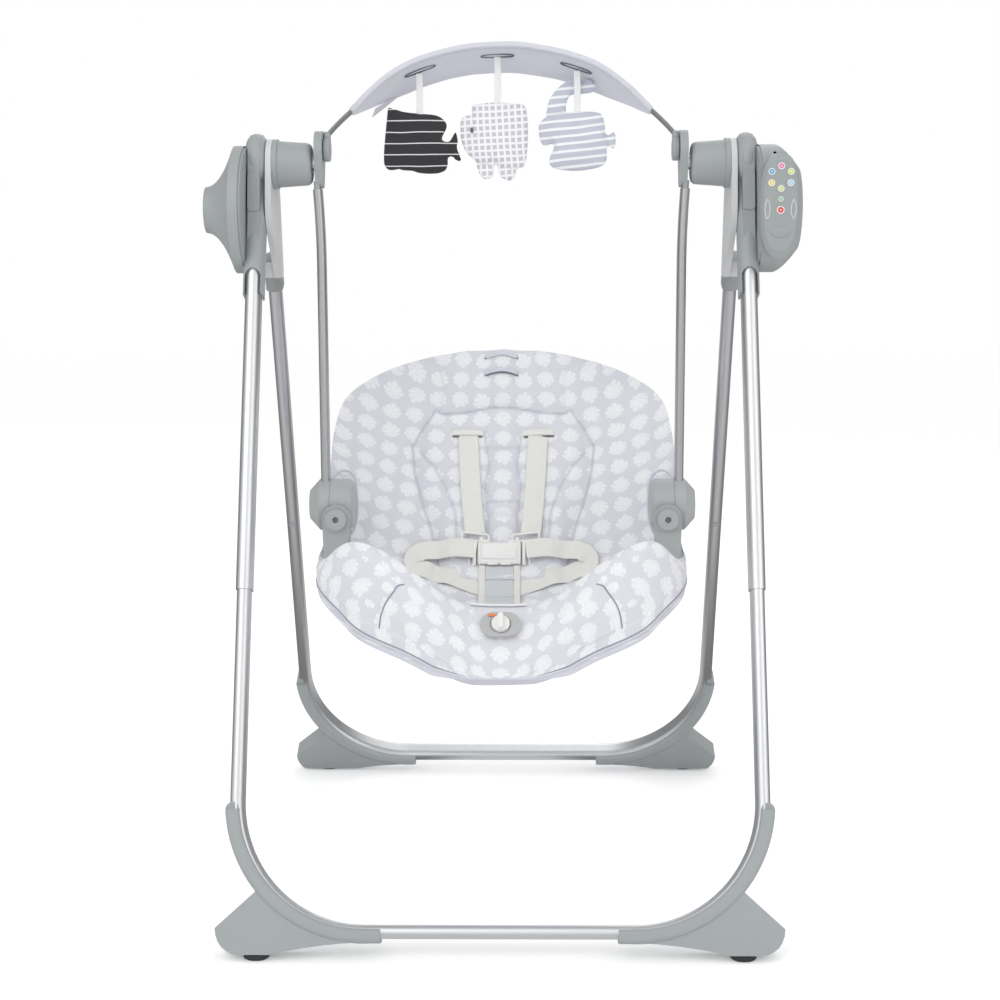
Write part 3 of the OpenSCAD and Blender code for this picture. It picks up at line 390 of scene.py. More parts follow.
def stripedCloth(name, ground, stripe, pitch, share, across=0.0, start=0.0, lean=0.0):
    # printed cotton: stripes, or squares where a second pitch runs across
    mat, tree, shader = finish(name, ground, 0.9)
    place = surfacePlace(tree, turn=(0, lean, 0))
    wave = add(tree, "TexNoise", Vector=place, Scale=18.0, Detail=1.0).outputs[0]
    parts = add(tree, "SeparateXYZ", Vector=place)
    lines = None
    for axis, step in ((2, pitch), (0, across)):
        if not step:
            continue
        spot = calc(tree, "ADD", calc(tree, "MULTIPLY", wave, 0.004), calc(tree, "SUBTRACT", parts.outputs[axis], start))
        part = calc(tree, "FRACT", calc(tree, "DIVIDE", spot, step))
        gap = calc(tree, "ABSOLUTE", calc(tree, "SUBTRACT", part, 0.5))
        line = smoothRange(tree, gap, share / 2 + 0.02, share / 2 - 0.02)
        lines = line if lines is None else calc(tree, "MAXIMUM", lines, line)
    cloud = add(tree, "TexNoise", Vector=place, Scale=60.0, Detail=3.0).outputs[0]
    base = blendColours(tree, cloud, shade(ground, 0.94), shade(ground, 1.05))
    tree.links.new(blendColours(tree, lines, base, stripe), shader.inputs["Base Color"])
    fluff = add(tree, "TexNoise", Vector=place, Scale=1200.0, Detail=2.0).outputs[0]
    pucker = add(tree, "TexNoise", Vector=place, Scale=70.0, Detail=2.0).outputs[0]
    bump(tree, shader, calc(tree, "ADD", fluff, calc(tree, "MULTIPLY", pucker, 3.0)), 0.3, 0.0006)
    shader.inputs["Sheen Weight"].default_value = 0.15
    return mat


def smoothPlastic(name, colour, rough=0.3):
    mat, tree, shader = finish(name, colour, rough)
    cloud = add(tree, "TexNoise", Vector=surfacePlace(tree), Scale=40.0, Detail=3.0).outputs[0]
    tree.links.new(blendColours(tree, cloud, shade(colour, 0.97), shade(colour, 1.03)), shader.inputs["Base Color"])
    tree.links.new(add(tree, "MapRange", Value=cloud, at3=rough - 0.04, at4=rough + 0.06).outputs[0], shader.inputs["Roughness"])
    bump(tree, shader, cloud, 0.04, 0.0005)
    return mat


tones = {
    "grey": (0.355, 0.378, 0.385), "jointGrey": (0.41, 0.43, 0.432), "remoteGrey": (0.34, 0.365, 0.37),
    "tube": (0.66, 0.67, 0.68), "arm": (0.50, 0.505, 0.51), "lining": (0.66, 0.665, 0.74), "webbing": (0.80, 0.80, 0.76),
}
greyPlastic = mouldedPlastic("greyPlastic", tones["grey"])
jointPlastic = mouldedPlastic("jointPlastic", tones["jointGrey"], 0.42, 0.03)
remotePlastic = mouldedPlastic("remotePlastic", tones["remoteGrey"], 0.4, 0.03)
legMetal = satinTube("legMetal", tones["tube"], 0.38, (500, 40, 16))
armMetal = satinTube("armMetal", tones["arm"], 0.4, (500, 500, 10))
axleSteel = satinTube("axleSteel", (0.6, 0.6, 0.61), 0.22, (20, 600, 600))
cellMetal = satinTube("cellMetal", (0.55, 0.55, 0.57), 0.3, (300, 300, 20))
coilWire = satinTube("coilWire", (0.72, 0.38, 0.18), 0.35, (900, 60, 60))
padRubber = mouldedPlastic("padRubber", (0.03, 0.031, 0.033), 0.75, 0.15, 500)
shellPlastic = mouldedPlastic("shellPlastic", (0.18, 0.18, 0.19))
whitePlastic = smoothPlastic("whitePlastic", (0.84, 0.84, 0.82))
leafCotton = leafCloth("leafCotton")
liningCotton = plainCloth("liningCotton", tones["lining"])
bandCotton = plainCloth("bandCotton", (0.66, 0.665, 0.73), cloth=True)
paleBinding = plainCloth("paleBinding", (0.86, 0.86, 0.88))
# dark cloth for thin seam lines: painted shade in the seams
seamShadeCloth = plainCloth("seamShadeCloth", (0.30, 0.30, 0.36))
# dark thread for the toy bar slot edges, and painted shade inside the cover's slits and slots
threadAndSlitShade = plainCloth("threadAndSlitShade", (0.16, 0.16, 0.20))
tapeWebbing = ribbedWebbing("tapeWebbing", tones["webbing"])
whiteTape = ribbedWebbing("whiteTape", (0.86, 0.86, 0.87))
bezelPlastic = mouldedPlastic("bezelPlastic", (0.47, 0.475, 0.485), 0.42, 0.03)
crotchPlastic = smoothPlastic("crotchPlastic", (0.63, 0.66, 0.68), 0.35)
darkCotton = stripedCloth("darkCotton", (0.030, 0.030, 0.034), (0.80, 0.80, 0.82), 0.0142, 0.085, start=0.002)
checkCotton = stripedCloth("checkCotton", (0.57, 0.57, 0.63), (0.90, 0.90, 0.92), 0.0082, 0.36, across=0.0080, lean=0.05)
stripeCotton = stripedCloth("stripeCotton", (0.55, 0.57, 0.65), (0.89, 0.90, 0.93), 0.0098, 0.34, lean=0.11)
markPlastic = smoothPlastic("markPlastic", (0.85, 0.25, 0.05), 0.4)
darkPlastic = mouldedPlastic("darkPlastic", (0.11, 0.115, 0.12), 0.45)
darkGreyPlastic = mouldedPlastic("darkGreyPlastic", (0.22, 0.225, 0.23), 0.45)
paleGreyPlastic = mouldedPlastic("paleGreyPlastic", (0.62, 0.63, 0.64), 0.5)
keyColours = {
    "key_1": (0.80, 0.20, 0.42), "key_2": (0.62, 0.72, 0.16), "key_3": (0.36, 0.60, 0.74), "key_4": (0.55, 0.66, 0.22),
    "key_5": (0.82, 0.66, 0.12), "key_6": (0.12, 0.38, 0.66), "key_light": (0.25, 0.50, 0.30), "key_power": (0.72, 0.06, 0.05),
}


def bracketWithPaintedReflection(name):
    # mid grey sleeve, and above it a paler colour: a painted reflection of the white studio seen at a grazing angle
    mat, tree, shader = finish(name, tones["grey"], 0.5)
    place = surfacePlace(tree)
    height = add(tree, "SeparateXYZ", Vector=place).outputs[2]
    cloud = add(tree, "TexNoise", Vector=place, Scale=9.0, Detail=3.0).outputs[0]
    base = blendColours(tree, cloud, (0.30, 0.31, 0.315), (0.34, 0.35, 0.355))
    paintedReflection = blendColours(tree, cloud, (0.62, 0.63, 0.635), (0.68, 0.69, 0.695))
    # above z 0.76 the paler colour is a painted reflection, not a second moulding colour
    tree.links.new(blendColours(tree, smoothRange(tree, height, 0.7595, 0.7605), base, paintedReflection), shader.inputs["Base Color"])
    fine = add(tree, "TexNoise", Vector=place, Scale=900.0, Detail=2.0).outputs[0]
    bump(tree, shader, fine, 0.06, 0.0004)
    return mat


def keyGloss(name, colour, node):
    # a key: white rim, coloured face and a paler middle
    low, high = (Vector(p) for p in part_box(node))
    mid, size = (low + high) / 2, (high - low) / 2
    mat, tree, shader = finish(name, colour, 0.3)
    centred = add(tree, "VectorMath", {"operation": "SUBTRACT"}, at0=surfacePlace(tree), at1=tuple(mid)).outputs[0]
    scaled = add(tree, "VectorMath", {"operation": "MULTIPLY"}, at0=centred, at1=(1 / size.x, 0, 1 / size.z)).outputs[0]
    r = add(tree, "VectorMath", {"operation": "LENGTH"}, at0=scaled).outputs["Value"]
    rim = smoothRange(tree, r, 0.68, 0.78)
    heart = smoothRange(tree, r, 0.34, 0.26)
    face = blendColours(tree, heart, colour, tuple(0.5 * c + 0.42 for c in colour))
    tree.links.new(blendColours(tree, rim, face, (0.80, 0.81, 0.80)), shader.inputs["Base Color"])
    bump(tree, shader, add(tree, "TexNoise", Vector=centred, Scale=800.0).outputs[0], 0.05, 0.0002)
    return mat


def dressNode(name, mat):
    mesh = nodes[name].data
    mesh.materials.clear()
    mesh.materials.append(mat)


def dressFrame():
    bracketReflectionPaint = bracketWithPaintedReflection("bracketReflectionPaint")
    plan = {
        greyPlastic: ["front_foot_left", "front_foot_right", "rear_foot_left", "rear_foot_right", "hub_left", "hub_right",
                      "hub_cover_left", "hub_cover_right", "axle_housings", "release_button_left", "release_button_right",
                      "snap_button_left", "snap_button_right", "arm_heads",
                      "toy_bar_ends", "toy_bar_rod"],
        bezelPlastic: ["knob_bezel"],
        jointPlastic: ["joint_outer_left", "joint_outer_right", "joint_inner_left", "joint_inner_right", "joint_pins"],
        remotePlastic: ["remote_body"],
        legMetal: ["front_base_tube", "front_leg_left", "front_leg_right", "rear_base_tube", "rear_leg_left", "rear_leg_right"],
        armMetal: ["swing_arm_left", "swing_arm_right"],
        axleSteel: ["swing_axles"],
        cellMetal: ["battery_cells"],
        coilWire: ["drive_coil"],
        padRubber: ["front_pads", "rear_pads"],
        shellPlastic: ["seat_shell"],
        whitePlastic: ["axle_bushes", "drive_lever", "turn_knob", "buckle"],
        liningCotton: ["seat_sling", "toy_bar_cover", "seat_pad", "shoulder_straps", "lap_straps", "crotch_strap",
                       "toy_left", "toy_middle", "toy_right"],
    }
    for mat, names in plan.items():
        for name in names:
            dressNode(name, mat)
    for name, colour in keyColours.items():
        dressNode(name, keyGloss(name + "Gloss", colour, name))
    for name in ("rear_bracket_left", "rear_bracket_right"):
        dressNode(name, bracketReflectionPaint)


# ---- seat surface, in millimetres from the recline axis ----
seat = {
    "axis": 469,
    "top": [(172, 184), (167, 172), (160, 150), (148, 112), (128, 66), (102, 18), (76, -32), (48, -84), (10, -124),
            (-40, -136), (-95, -122), (-135, -104), (-162, -104), (-182, -117), (-196, -137), (-204, -156), (-207, -166)],
    "under": [(187, 178), (187, 161), (184, 136), (176, 94), (165, 46), (151, -4), (135, -66), (110, -139), (65, -205),
              (5, -234), (-60, -230), (-115, -212), (-152, -194), (-178, -182), (-194, -176), (-203, -174), (-207, -173)],
    "half": [50, 99, 158, 209, 225, 228, 230, 231, 233, 233, 230, 222, 200, 170, 110, 62, 40],
    "rise": [2, 10, 20, 32, 46, 56, 62, 72, 80, 82, 62, 34, 16, 6, 2, 0, 0],
    "brow": [0, 0, 0, 0, 0, 0, 0, 2, 15, 42, 58, 70, 72, 56, 32, 10, 0],
    "browStart": 0.12, "browTop": 0.8, "rim": 28, "lug": (0.209, 0.040, 0.386), "lugBulge": 14,
    "binding": [(0.345, 0.93), (0.327, 0.87), (0.317, 0.80), (0.313, 0.74), (0.316, 0.695), (0.324, 0.665), (0.338, 0.648), (0.355, 0.639),
                (0.372, 0.634), (0.390, 0.636), (0.407, 0.65), (0.423, 0.68), (0.438, 0.72)],
}


def browShape(s):
    t = max(min((s - seat["browStart"]) / (seat["browTop"] - seat["browStart"]), 1), 0)
    f = max(s - seat["browTop"], 0) / (1 - seat["browTop"])
    return t * t * (3 - 2 * t) - f * f


def seatPoint(u, v, depth=0.0, share=0.0):
    # u runs down the seat, v across it; depth in mm below the top, share of the full thickness
    u = max(0.0, min(1.0, u))
    s = math.sin(math.radians(90 * v))
    top = spline([Vector((0, *p)) for p in seat["top"]], u)
    low = spline([Vector((0, *p)) for p in seat["under"]], u)
    down = low - top
    full = down.length
    edge = min(seat["rim"], full)
    thick = edge + (full - edge) * (1 - abs(s) ** 3)
    lift = spline(seat["rise"], u) * s ** 4 + spline(seat["brow"], u) * browShape(abs(s))
    way = depth * edge / seat["rim"] + share * thick - lift
    spot = top + down / full * way
    return Vector((spline(seat["half"], u) * s, spot.y, spot.z + seat["axis"])) / 1000


def seatNormal(u, v):
    e = 0.004
    uu = max(e, min(1 - e, u))
    vv = max(-1 + e, min(1 - e, v))
    across = seatPoint(uu, vv + e) - seatPoint(uu, vv - e)
    along = seatPoint(uu + e, vv) - seatPoint(uu - e, vv)
    return along.cross(across).normalized()


weave = {"levels": [(16, 10), (32, 20), (64, 40)], "rounds": 260, "pull": 0.22}


def relaxCloth(flat, spots):
    # evens out the stretch of a flattened sheet: each grid edge and diagonal is drawn towards its real length
    n, m = flat.shape[:2]
    pairs = []
    for di, dj in ((0, 1), (1, 0), (1, 1), (1, -1)):
        a = (slice(0, n - di), slice(max(0, -dj), m - max(0, dj)))
        b = (slice(di, n), slice(max(0, dj), m - max(0, -dj)))
        pairs.append((a, b, numpy.linalg.norm(spots[a] - spots[b], axis=2)))
    for k in range(weave["rounds"]):
        move = numpy.zeros_like(flat)
        for a, b, rest in pairs:
            gap = flat[b] - flat[a]
            size = numpy.maximum(numpy.linalg.norm(gap, axis=2), 1e-6)
            shift = gap * ((size - rest) / size)[:, :, None]
            move[a] += shift
            move[b] -= shift
        flat += move * weave["pull"] * 0.5
        flat[:, 0, 0] = 0
    return flat


def flattenCloth():
    # the seat's cloth laid flat: x and y in metres for a grid of u down the seat and v across its half
    flat = None
    for rows, cols in weave["levels"]:
        spots = numpy.array([[seatPoint(i / rows, j / cols) for j in range(cols + 1)] for i in range(rows + 1)])
        if flat is None:
            x = numpy.cumsum(numpy.linalg.norm(numpy.diff(spots, axis=1, prepend=spots[:, :1]), axis=2), axis=1)
            y = numpy.cumsum(numpy.linalg.norm(numpy.diff(spots[:, 0], axis=0, prepend=spots[:1, 0]), axis=1))
            flat = numpy.stack([x, numpy.repeat(-y[:, None], cols + 1, axis=1)], axis=2)
        else:
            n, m = flat.shape[:2]
            across, along = numpy.linspace(0, m - 1, cols + 1), numpy.linspace(0, n - 1, rows + 1)
            fine = numpy.stack([[numpy.interp(across, range(m), flat[i, :, k]) for i in range(n)] for k in (0, 1)])
            flat = numpy.stack([[numpy.interp(along, range(n), fine[k, :, j]) for j in range(cols + 1)] for k in (0, 1)]).T
        flat = relaxCloth(flat, spots)
    return flat[:, :, 0].tolist(), flat[:, :, 1].tolist()


clothAcross, clothAlong = flattenCloth()


def tableValue(table, a, b):
    i, j = min(int(a), len(table) - 2), min(int(b), len(table[0]) - 2)
    f, g = a - i, b - j
    low = table[i][j] * (1 - g) + table[i][j + 1] * g
    high = table[i + 1][j] * (1 - g) + table[i + 1][j + 1] * g
    return low * (1 - f) + high * f


def clothPlace(u, v):
    # where a point of the seat lies on the flat cloth, in metres
    rows, cols = weave["levels"][-1]
    a, b = max(0.0, min(0.9999, u)) * rows, min(0.9999, abs(v)) * cols
    return Vector((math.copysign(tableValue(clothAcross, a, b), v), tableValue(clothAlong, a, b), 0))


quilt = {
    "outline": [(0.190, 0.0), (0.193, 0.08), (0.199, 0.14), (0.204, 0.20), (0.203, 0.25), (0.196, 0.285), (0.225, 0.322), (0.26, 0.365),
                (0.302, 0.35), (0.348, 0.317), (0.39, 0.275), (0.43, 0.25), (0.47, 0.23)],
    "petal": [(0.27, 0.33), (0.295, 0.27), (0.328, 0.22), (0.368, 0.18), (0.41, 0.17)],
    "column": [(0.245, 0.07), (0.265, 0.062), (0.292, 0.052), (0.32, 0.067), (0.35, 0.062), (0.375, 0.055), (0.41, 0.06)],
    "cross": [[(0.265, -0.065), (0.265, 0.065)], [(0.35, -0.062), (0.35, 0.062)], [(0.372, -0.055), (0.372, 0.055)]],
    "cheek": [(0.11, 0.40), (0.15, 0.30), (0.195, 0.26)],
    "dart": [(0.817, 0.49), (0.826, 0.57), (0.833, 0.65), (0.834, 0.74), (0.835, 0.82), (0.837, 0.90), (0.838, 0.97)],
    "seamDepth": 5.5, "seamWidth": 9.0, "seamShadeWidth": 1.6, "insertRise": 7.0,
}


def quiltLines():
    def both(line):
        return [[clothPlace(u, k * v) for u, v in line] for k in (-1, 1)]
    # the third number of each line is the strength of its painted seam shade
    lines = [(line, 1.0, 0.65) for line in both(quilt["outline"])]
    lines += [(line, 0.8, 0.5) for line in both(quilt["petal"]) + both(quilt["column"])]
    lines += [([clothPlace(u, v) for u, v in line], 0.6, 0.5) for line in quilt["cross"]]
    lines += [(line, 0.6, 0.15) for line in both(quilt["cheek"])]
    boxes = []
    for line, deep, shadeWeight in lines:
        xs, ys = [p.x for p in line], [p.y for p in line]
        boxes.append((line, deep, shadeWeight, (min(xs) - 0.03, max(xs) + 0.03, min(ys) - 0.03, max(ys) + 0.03)))
    return boxes


def gapToLine(p, line):
    best = 1.0
    for a, b in zip(line, line[1:]):
        d = b - a
        t = max(0.0, min(1.0, (p - a).dot(d) / max(d.length_squared, 1e-9)))
        best = min(best, (p - a - d * t).length)
    return best


def insideInsert(u, v):
    # how far inside the body cushion's outline a point lies, as a width share
    line = quilt["outline"]
    if u < line[0][0] or u > line[-1][0]:
        return -1.0
    for a, b in zip(line, line[1:]):
        if a[0] <= u <= b[0] and b[0] > a[0]:
            edge = a[1] + (b[1] - a[1]) * (u - a[0]) / (b[0] - a[0])
            return edge - abs(v)
    return -1.0


def clearJoint(p):
    # gathers the cloth round the seat joints
    reach = 0.0385
    y, z = p.y, p.z - seat["axis"] / 1000
    r = max(math.hypot(y, z), 1e-5)
    grown = (r ** 5 + reach ** 5) ** 0.2
    share = stepBetween(0.168, 0.186, abs(p.x))
    k = 1 + (grown / r - 1) * share
    lip = 0.0075 * stepBetween(-0.172, -0.200, p.y) * stepBetween(0.13, 0.02, abs(p.x))
    return Vector((p.x, y * k, z * k + seat["axis"] / 1000 - lip))


def ridge(u, v, place, lines):
    # height of the quilting above the plain surface in metres, and how much painted shade its seam gets
    drop, dark = 0.0, 0.0
    for line, deep, shadeWeight, box in lines:
        if not (box[0] < place.x < box[1] and box[2] < place.y < box[3]):
            continue
        gap = gapToLine(place, line) * 1000
        drop = max(drop, deep * (0.7 * math.exp(-((gap / quilt["seamWidth"]) ** 2)) + 0.3 * math.exp(-((gap / 2.5) ** 2))))
        # painted shade: a narrow dark band along each seam
        dark = max(dark, shadeWeight * math.exp(-((gap / quilt["seamShadeWidth"]) ** 2)))
    lift = quilt["insertRise"] * stepBetween(0.0, 0.10, insideInsert(u, v))
    soft = 2.2 * noise.noise(place * 20) + 1.0 * noise.noise(place * 55 + Vector((3, 1, 7)))
    pucker = 1.4 * noise.noise(Vector((place.x * 170, place.y * 60, 2.0))) * stepBetween(0.05, 0.6, drop)
    rolls = 2.2 * noise.noise(Vector((place.x * 34 + place.y * 20, place.y * 12, 5.0))) * stepBetween(0.62, 0.85, u)
    return (lift + soft + pucker + rolls - quilt["seamDepth"] * drop) / 1000, dark


seamLines = quiltLines()


def onCover(u, v, lift=0.0):
    # a point lying on the made cover, lift in mm
    rise = ridge(u, v, clothPlace(u, v), seamLines)[0]
    return clearJoint(seatPoint(u, v) + seatNormal(u, v) * (rise + lift / 1000))


def setCloth(bm, places):
    cloth = bm.loops.layers.uv.new("cloth")
    for face in bm.faces:
        for loop in face.loops:
            loop[cloth].uv = places[loop.vert.index][:2]


def rimOutward(u, v):
    inner = seatPoint(0.5 + (u - 0.5) * 0.985, v * 0.985)
    away = seatPoint(u, v) - inner
    down = (seatPoint(u, v, 10) - seatPoint(u, v)).normalized()
    away -= down * away.dot(down)
    return away.normalized(), down


def rimSpot(u, v, depth, reach):
    # a point depth mm down the seat's edge and reach mm out from it
    away, down = rimOutward(u, v)
    thin = min(1.0, (seatPoint(u, v, 0, 1) - seatPoint(u, v)).length * 1000 / seat["rim"])
    return seatPoint(u, v) + (away * reach + down * depth * thin) / 1000


def ringedGrid(across, along, rings, marks=()):
    # a grid that keeps u, v and ring number at each point, with rings of faces grown from its edge
    bm = bmesh.new()
    bmesh.ops.create_grid(bm, x_segments=across, y_segments=along, size=0.5)
    bm.verts.layers.float_vector.new("spots")
    for mark in marks:
        bm.verts.layers.float.new(mark)
    spots = bm.verts.layers.float_vector["spots"]
    for vert in bm.verts:
        vert[spots] = (0.5 - vert.co.y, vert.co.x * 2, 0)
    for ring in range(1, rings + 1):
        edges = [e for e in bm.edges if e.is_boundary]
        grown = bmesh.ops.extrude_edge_only(bm, edges=edges)["geom"]
        for vert in (g for g in grown if isinstance(g, bmesh.types.BMVert)):
            vert[spots] = (vert[spots][0], vert[spots][1], ring)
    bm.verts.index_update()
    return bm, spots


def makeSeatCover():
    fine = 1.0
    bm, spots = ringedGrid(int(296 * fine), int(262 * fine), 5, ("paintedShade", "bare"))
    paintedShade, bare = (bm.verts.layers.float[mark] for mark in ("paintedShade", "bare"))
    places = {}
    profile = [(0, 0), (4, 3.2), (9, 4.4), (14, 3.6), (17.5, 0.6), (17.8, -14)]   # depth and reach of each ring, mm
    for vert in bm.verts:
        u, v, ring = vert[spots]
        ring = int(round(ring))
        flat = clothPlace(u, v)
        if ring == 0:
            edgeGap = min(1 - abs(v), u, 1 - u)
            lift, dark = ridge(u, v, flat, seamLines)
            vert.co = seatPoint(u, v) + seatNormal(u, v) * lift * stepBetween(0.0, 0.06, edgeGap)
            # painted shade along the quilting seams
            vert[paintedShade] = dark
            vert[bare] = stepBetween(0.036, 0.031, abs(vert.co.x)) * stepBetween(0.70, 0.715, u) * stepBetween(0.82, 0.80, u)
        else:
            depth, reach = profile[ring]
            vert.co = rimSpot(u, v, depth, reach)
            flat = flat + Vector((math.copysign(1, v) * 0.5, -0.5, 0)) * (depth / 1000)
            # painted shade in the fold under the piping, on the fourth ring
            vert[paintedShade] = 0.6 if ring == 4 else 0.0
        vert.co = clearJoint(vert.co)
        places[vert.index] = flat
    setCloth(bm, places)
    cover = putInScene("seatCover", bm)
    finishPiece(cover, leafCotton, "seat")
    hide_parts("seat_pad")
    return cover


def makeSeatUnderside():
    bm, spots = ringedGrid(96, 84, 4)
    places = {}
    profile = [(28, 0), (27, 1.6), (23, 2.6), (19, 1.6), (18.2, -4)]
    for vert in bm.verts:
        u, v, ring = vert[spots]
        ring = int(round(ring))
        flat = clothPlace(u, v)
        if ring == 0:
            edgeGap = stepBetween(0.0, 0.08, min(1 - abs(v), u, 1 - u))
            fold = (2.2 * noise.noise(flat * 14 + Vector((9, 2, 1))) + 1.2 * noise.noise(flat * 40)) * edgeGap
            rise = 4.5 * stepBetween(0.55, 0.66, u) * stepBetween(0.97, 0.86, u) * edgeGap
            lug = (Vector(seat["lug"]) - seatPoint(u, abs(v), 0, 1)).length   # room for the joint's lug
            vert.co = seatPoint(u, v, fold - rise + seat["lugBulge"] * stepBetween(0.040, 0.014, lug), 1)
        else:
            vert.co = rimSpot(u, v, *profile[ring])
        vert.co = clearJoint(vert.co)
        places[vert.index] = flat
    setCloth(bm, places)
    under = putInScene("seatUnderside", bm)
    finishPiece(under, liningCotton, "seat", 1)
    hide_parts("seat_sling", "seat_shell")
    return under


def rimLoop(depth, reach):
    # points round the seat's edge
    count = 420
    corners = [(0, -1), (0, 1), (1, 1), (1, -1)]
    lengths = [0.1, 0.42, 0.06, 0.42]
    points = []
    for k in range(4):
        (u0, v0), (u1, v1) = corners[k], corners[(k + 1) % 4]
        n = int(count * lengths[k])
        for i in range(n):
            t = i / n
            u, v = u0 + (u1 - u0) * t, v0 + (v1 - v0) * t
            points.append(clearJoint(rimSpot(u, v, depth, reach)))
    return points


def makeSeat():
    makeSeatCover()
    makeSeatUnderside()
    piping = tube("seatPiping", rimLoop(18.0, 2.4), 0.0016, closed=True)
    finishPiece(piping, liningCotton, "seat")
    # thin dark tube above the piping: painted shade in the rim seam
    seam = tube("rimSeam", rimLoop(15.6, 3.1), 0.0007, closed=True)
    finishPiece(seam, seamShadeCloth, "seat")
    for side, word in ((-1, "Left"), (1, "Right")):   # bound edge of the cloth round each joint
        spots = [onCover(u, side * v, 0.6) for u, v in seat["binding"]]
        smooth = [spline(spots, i / 70) for i in range(71)]
        binding = tube("jointBinding" + word, smooth, 0.0015)
        finishPiece(binding, liningCotton, "seat")
        # thin dark tube along each dart: painted shade in the seam
        spots = [onCover(u, side * v, 0.2) for u, v in quilt["dart"]]
        dart = tube("dartSeam" + word, [spline(spots, i / 50) for i in range(51)], 0.0009)
        finishPiece(dart, seamShadeCloth, "seat")


# ---- harness ----
def ribbon(name, spots, sides, wide, thick, mat, body, rows=None):
    # a flat strap: spots run along its middle, sides point across it
    n = rows or 40
    bm = bmesh.new()
    bmesh.ops.create_grid(bm, x_segments=6, y_segments=n, size=0.5)
    bm.verts.index_update()
    lengths = [0.0]
    line = [spline(spots, i / n) for i in range(n + 1)]
    for a, b in zip(line, line[1:]):
        lengths.append(lengths[-1] + (b - a).length)
    places = {}
    for vert in bm.verts:
        i = int(round((vert.co.y + 0.5) * n))
        side = spline(sides, i / n).normalized()
        w = spline(wide, i / n) if isinstance(wide, list) else wide
        places[vert.index] = Vector((vert.co.x * w, lengths[i], 0))
        vert.co = line[i] + side * (vert.co.x * w)
    setCloth(bm, places)
    piece = putInScene(name, bm)
    addModifiers(piece, (("SOLIDIFY", {"thickness": thick, "offset": 0.0}), ("SUBSURF", {"levels": 1, "render_levels": 1})))
    finishPiece(piece, mat, body)
    return piece


def onSeat(name, path, wide, lift, thick, mat, rows=40):
    # a strap along u, v steps on the made cover
    spots, sides = [], []
    for i, (u, v) in enumerate(path):
        spots.append(onCover(u, v, lift[i] if isinstance(lift, list) else lift))
    for i, (u, v) in enumerate(path):
        along = spots[min(i + 1, len(path) - 1)] - spots[max(i - 1, 0)]
        sides.append(along.cross(seatNormal(u, v)).normalized())
    return ribbon(name, spots, sides, wide, thick, mat, "seat", rows)


def join(name, pieces):
    # several pieces as one mesh, with their modifiers worked in
    graph = bpy.context.evaluated_depsgraph_get()
    graph.update()
    bm = bmesh.new()
    for piece in pieces:
        mesh = bpy.data.meshes.new_from_object(piece.evaluated_get(graph), preserve_all_data_layers=True, depsgraph=graph)
        bm.from_mesh(mesh)
        bpy.data.meshes.remove(mesh)
        bpy.data.objects.remove(piece)
    return putInScene(name, bm, recalc=False)


def roundedRing(width, height, corner):
    # points of a rounded rectangle in the x, z plane
    spots = []
    for k, (sx, sz) in enumerate(((1, 1), (-1, 1), (-1, -1), (1, -1))):
        for i in range(7):
            a = math.radians(90 * k + 15 * i)
            spots.append(Vector((sx * (width / 2 - corner) + corner * math.cos(a), 0, sz * (height / 2 - corner) + corner * math.sin(a))))
    return spots


def softBox(size, bevel, place=(0, 0, 0)):
    bm = bmesh.new()
    bmesh.ops.create_cube(bm, size=1, matrix=Matrix.Diagonal((*size, 1)))
    bmesh.ops.bevel(bm, geom=bm.edges[:], offset=bevel, segments=3, affect="EDGES", profile=0.5, material=-1)
    bmesh.ops.translate(bm, verts=bm.verts[:], vec=place)
    return bm


def addTo(target, other):
    mesh = bpy.data.meshes.new("part")
    other.to_mesh(mesh)
    target.from_mesh(mesh)
    bpy.data.meshes.remove(mesh)
    other.free()


harness = {
    "shoulder": [(0.240, -0.137), (0.27, -0.131), (0.31, -0.125), (0.35, -0.117), (0.385, -0.108), (0.402, -0.103)],
    "lap": [(0.428, -0.09), (0.425, -0.14), (0.424, -0.19), (0.425, -0.24), (0.427, -0.285), (0.433, -0.322), (0.446, -0.340),
            (0.455, -0.322), (0.459, -0.28), (0.462, -0.24), (0.467, -0.19), (0.474, -0.14), (0.482, -0.09), (0.489, -0.05)],
    "lapLift": [12, 11, 10.5, 10, 9.5, 8.5, 6.5, 4, 4, 4, 4, 3.6, 2.6, 2], "shift": -0.002,
    "flap": [(0.2405, -0.20), (0.2395, -0.14), (0.2405, -0.075)], "slit": [(0.2462, -0.20), (0.2462, -0.14), (0.2462, -0.08)],
    "buckle": (-0.0045, 0.0395, 0.3955), "buckleTilt": 24,
}


def buckleFrame():
    # puts a thing made in the x, z plane, facing -y, on the buckle's place
    tilt = Matrix.Rotation(math.radians(-harness["buckleTilt"]), 4, "X")
    return Matrix.Translation(Vector(harness["buckle"])) @ tilt


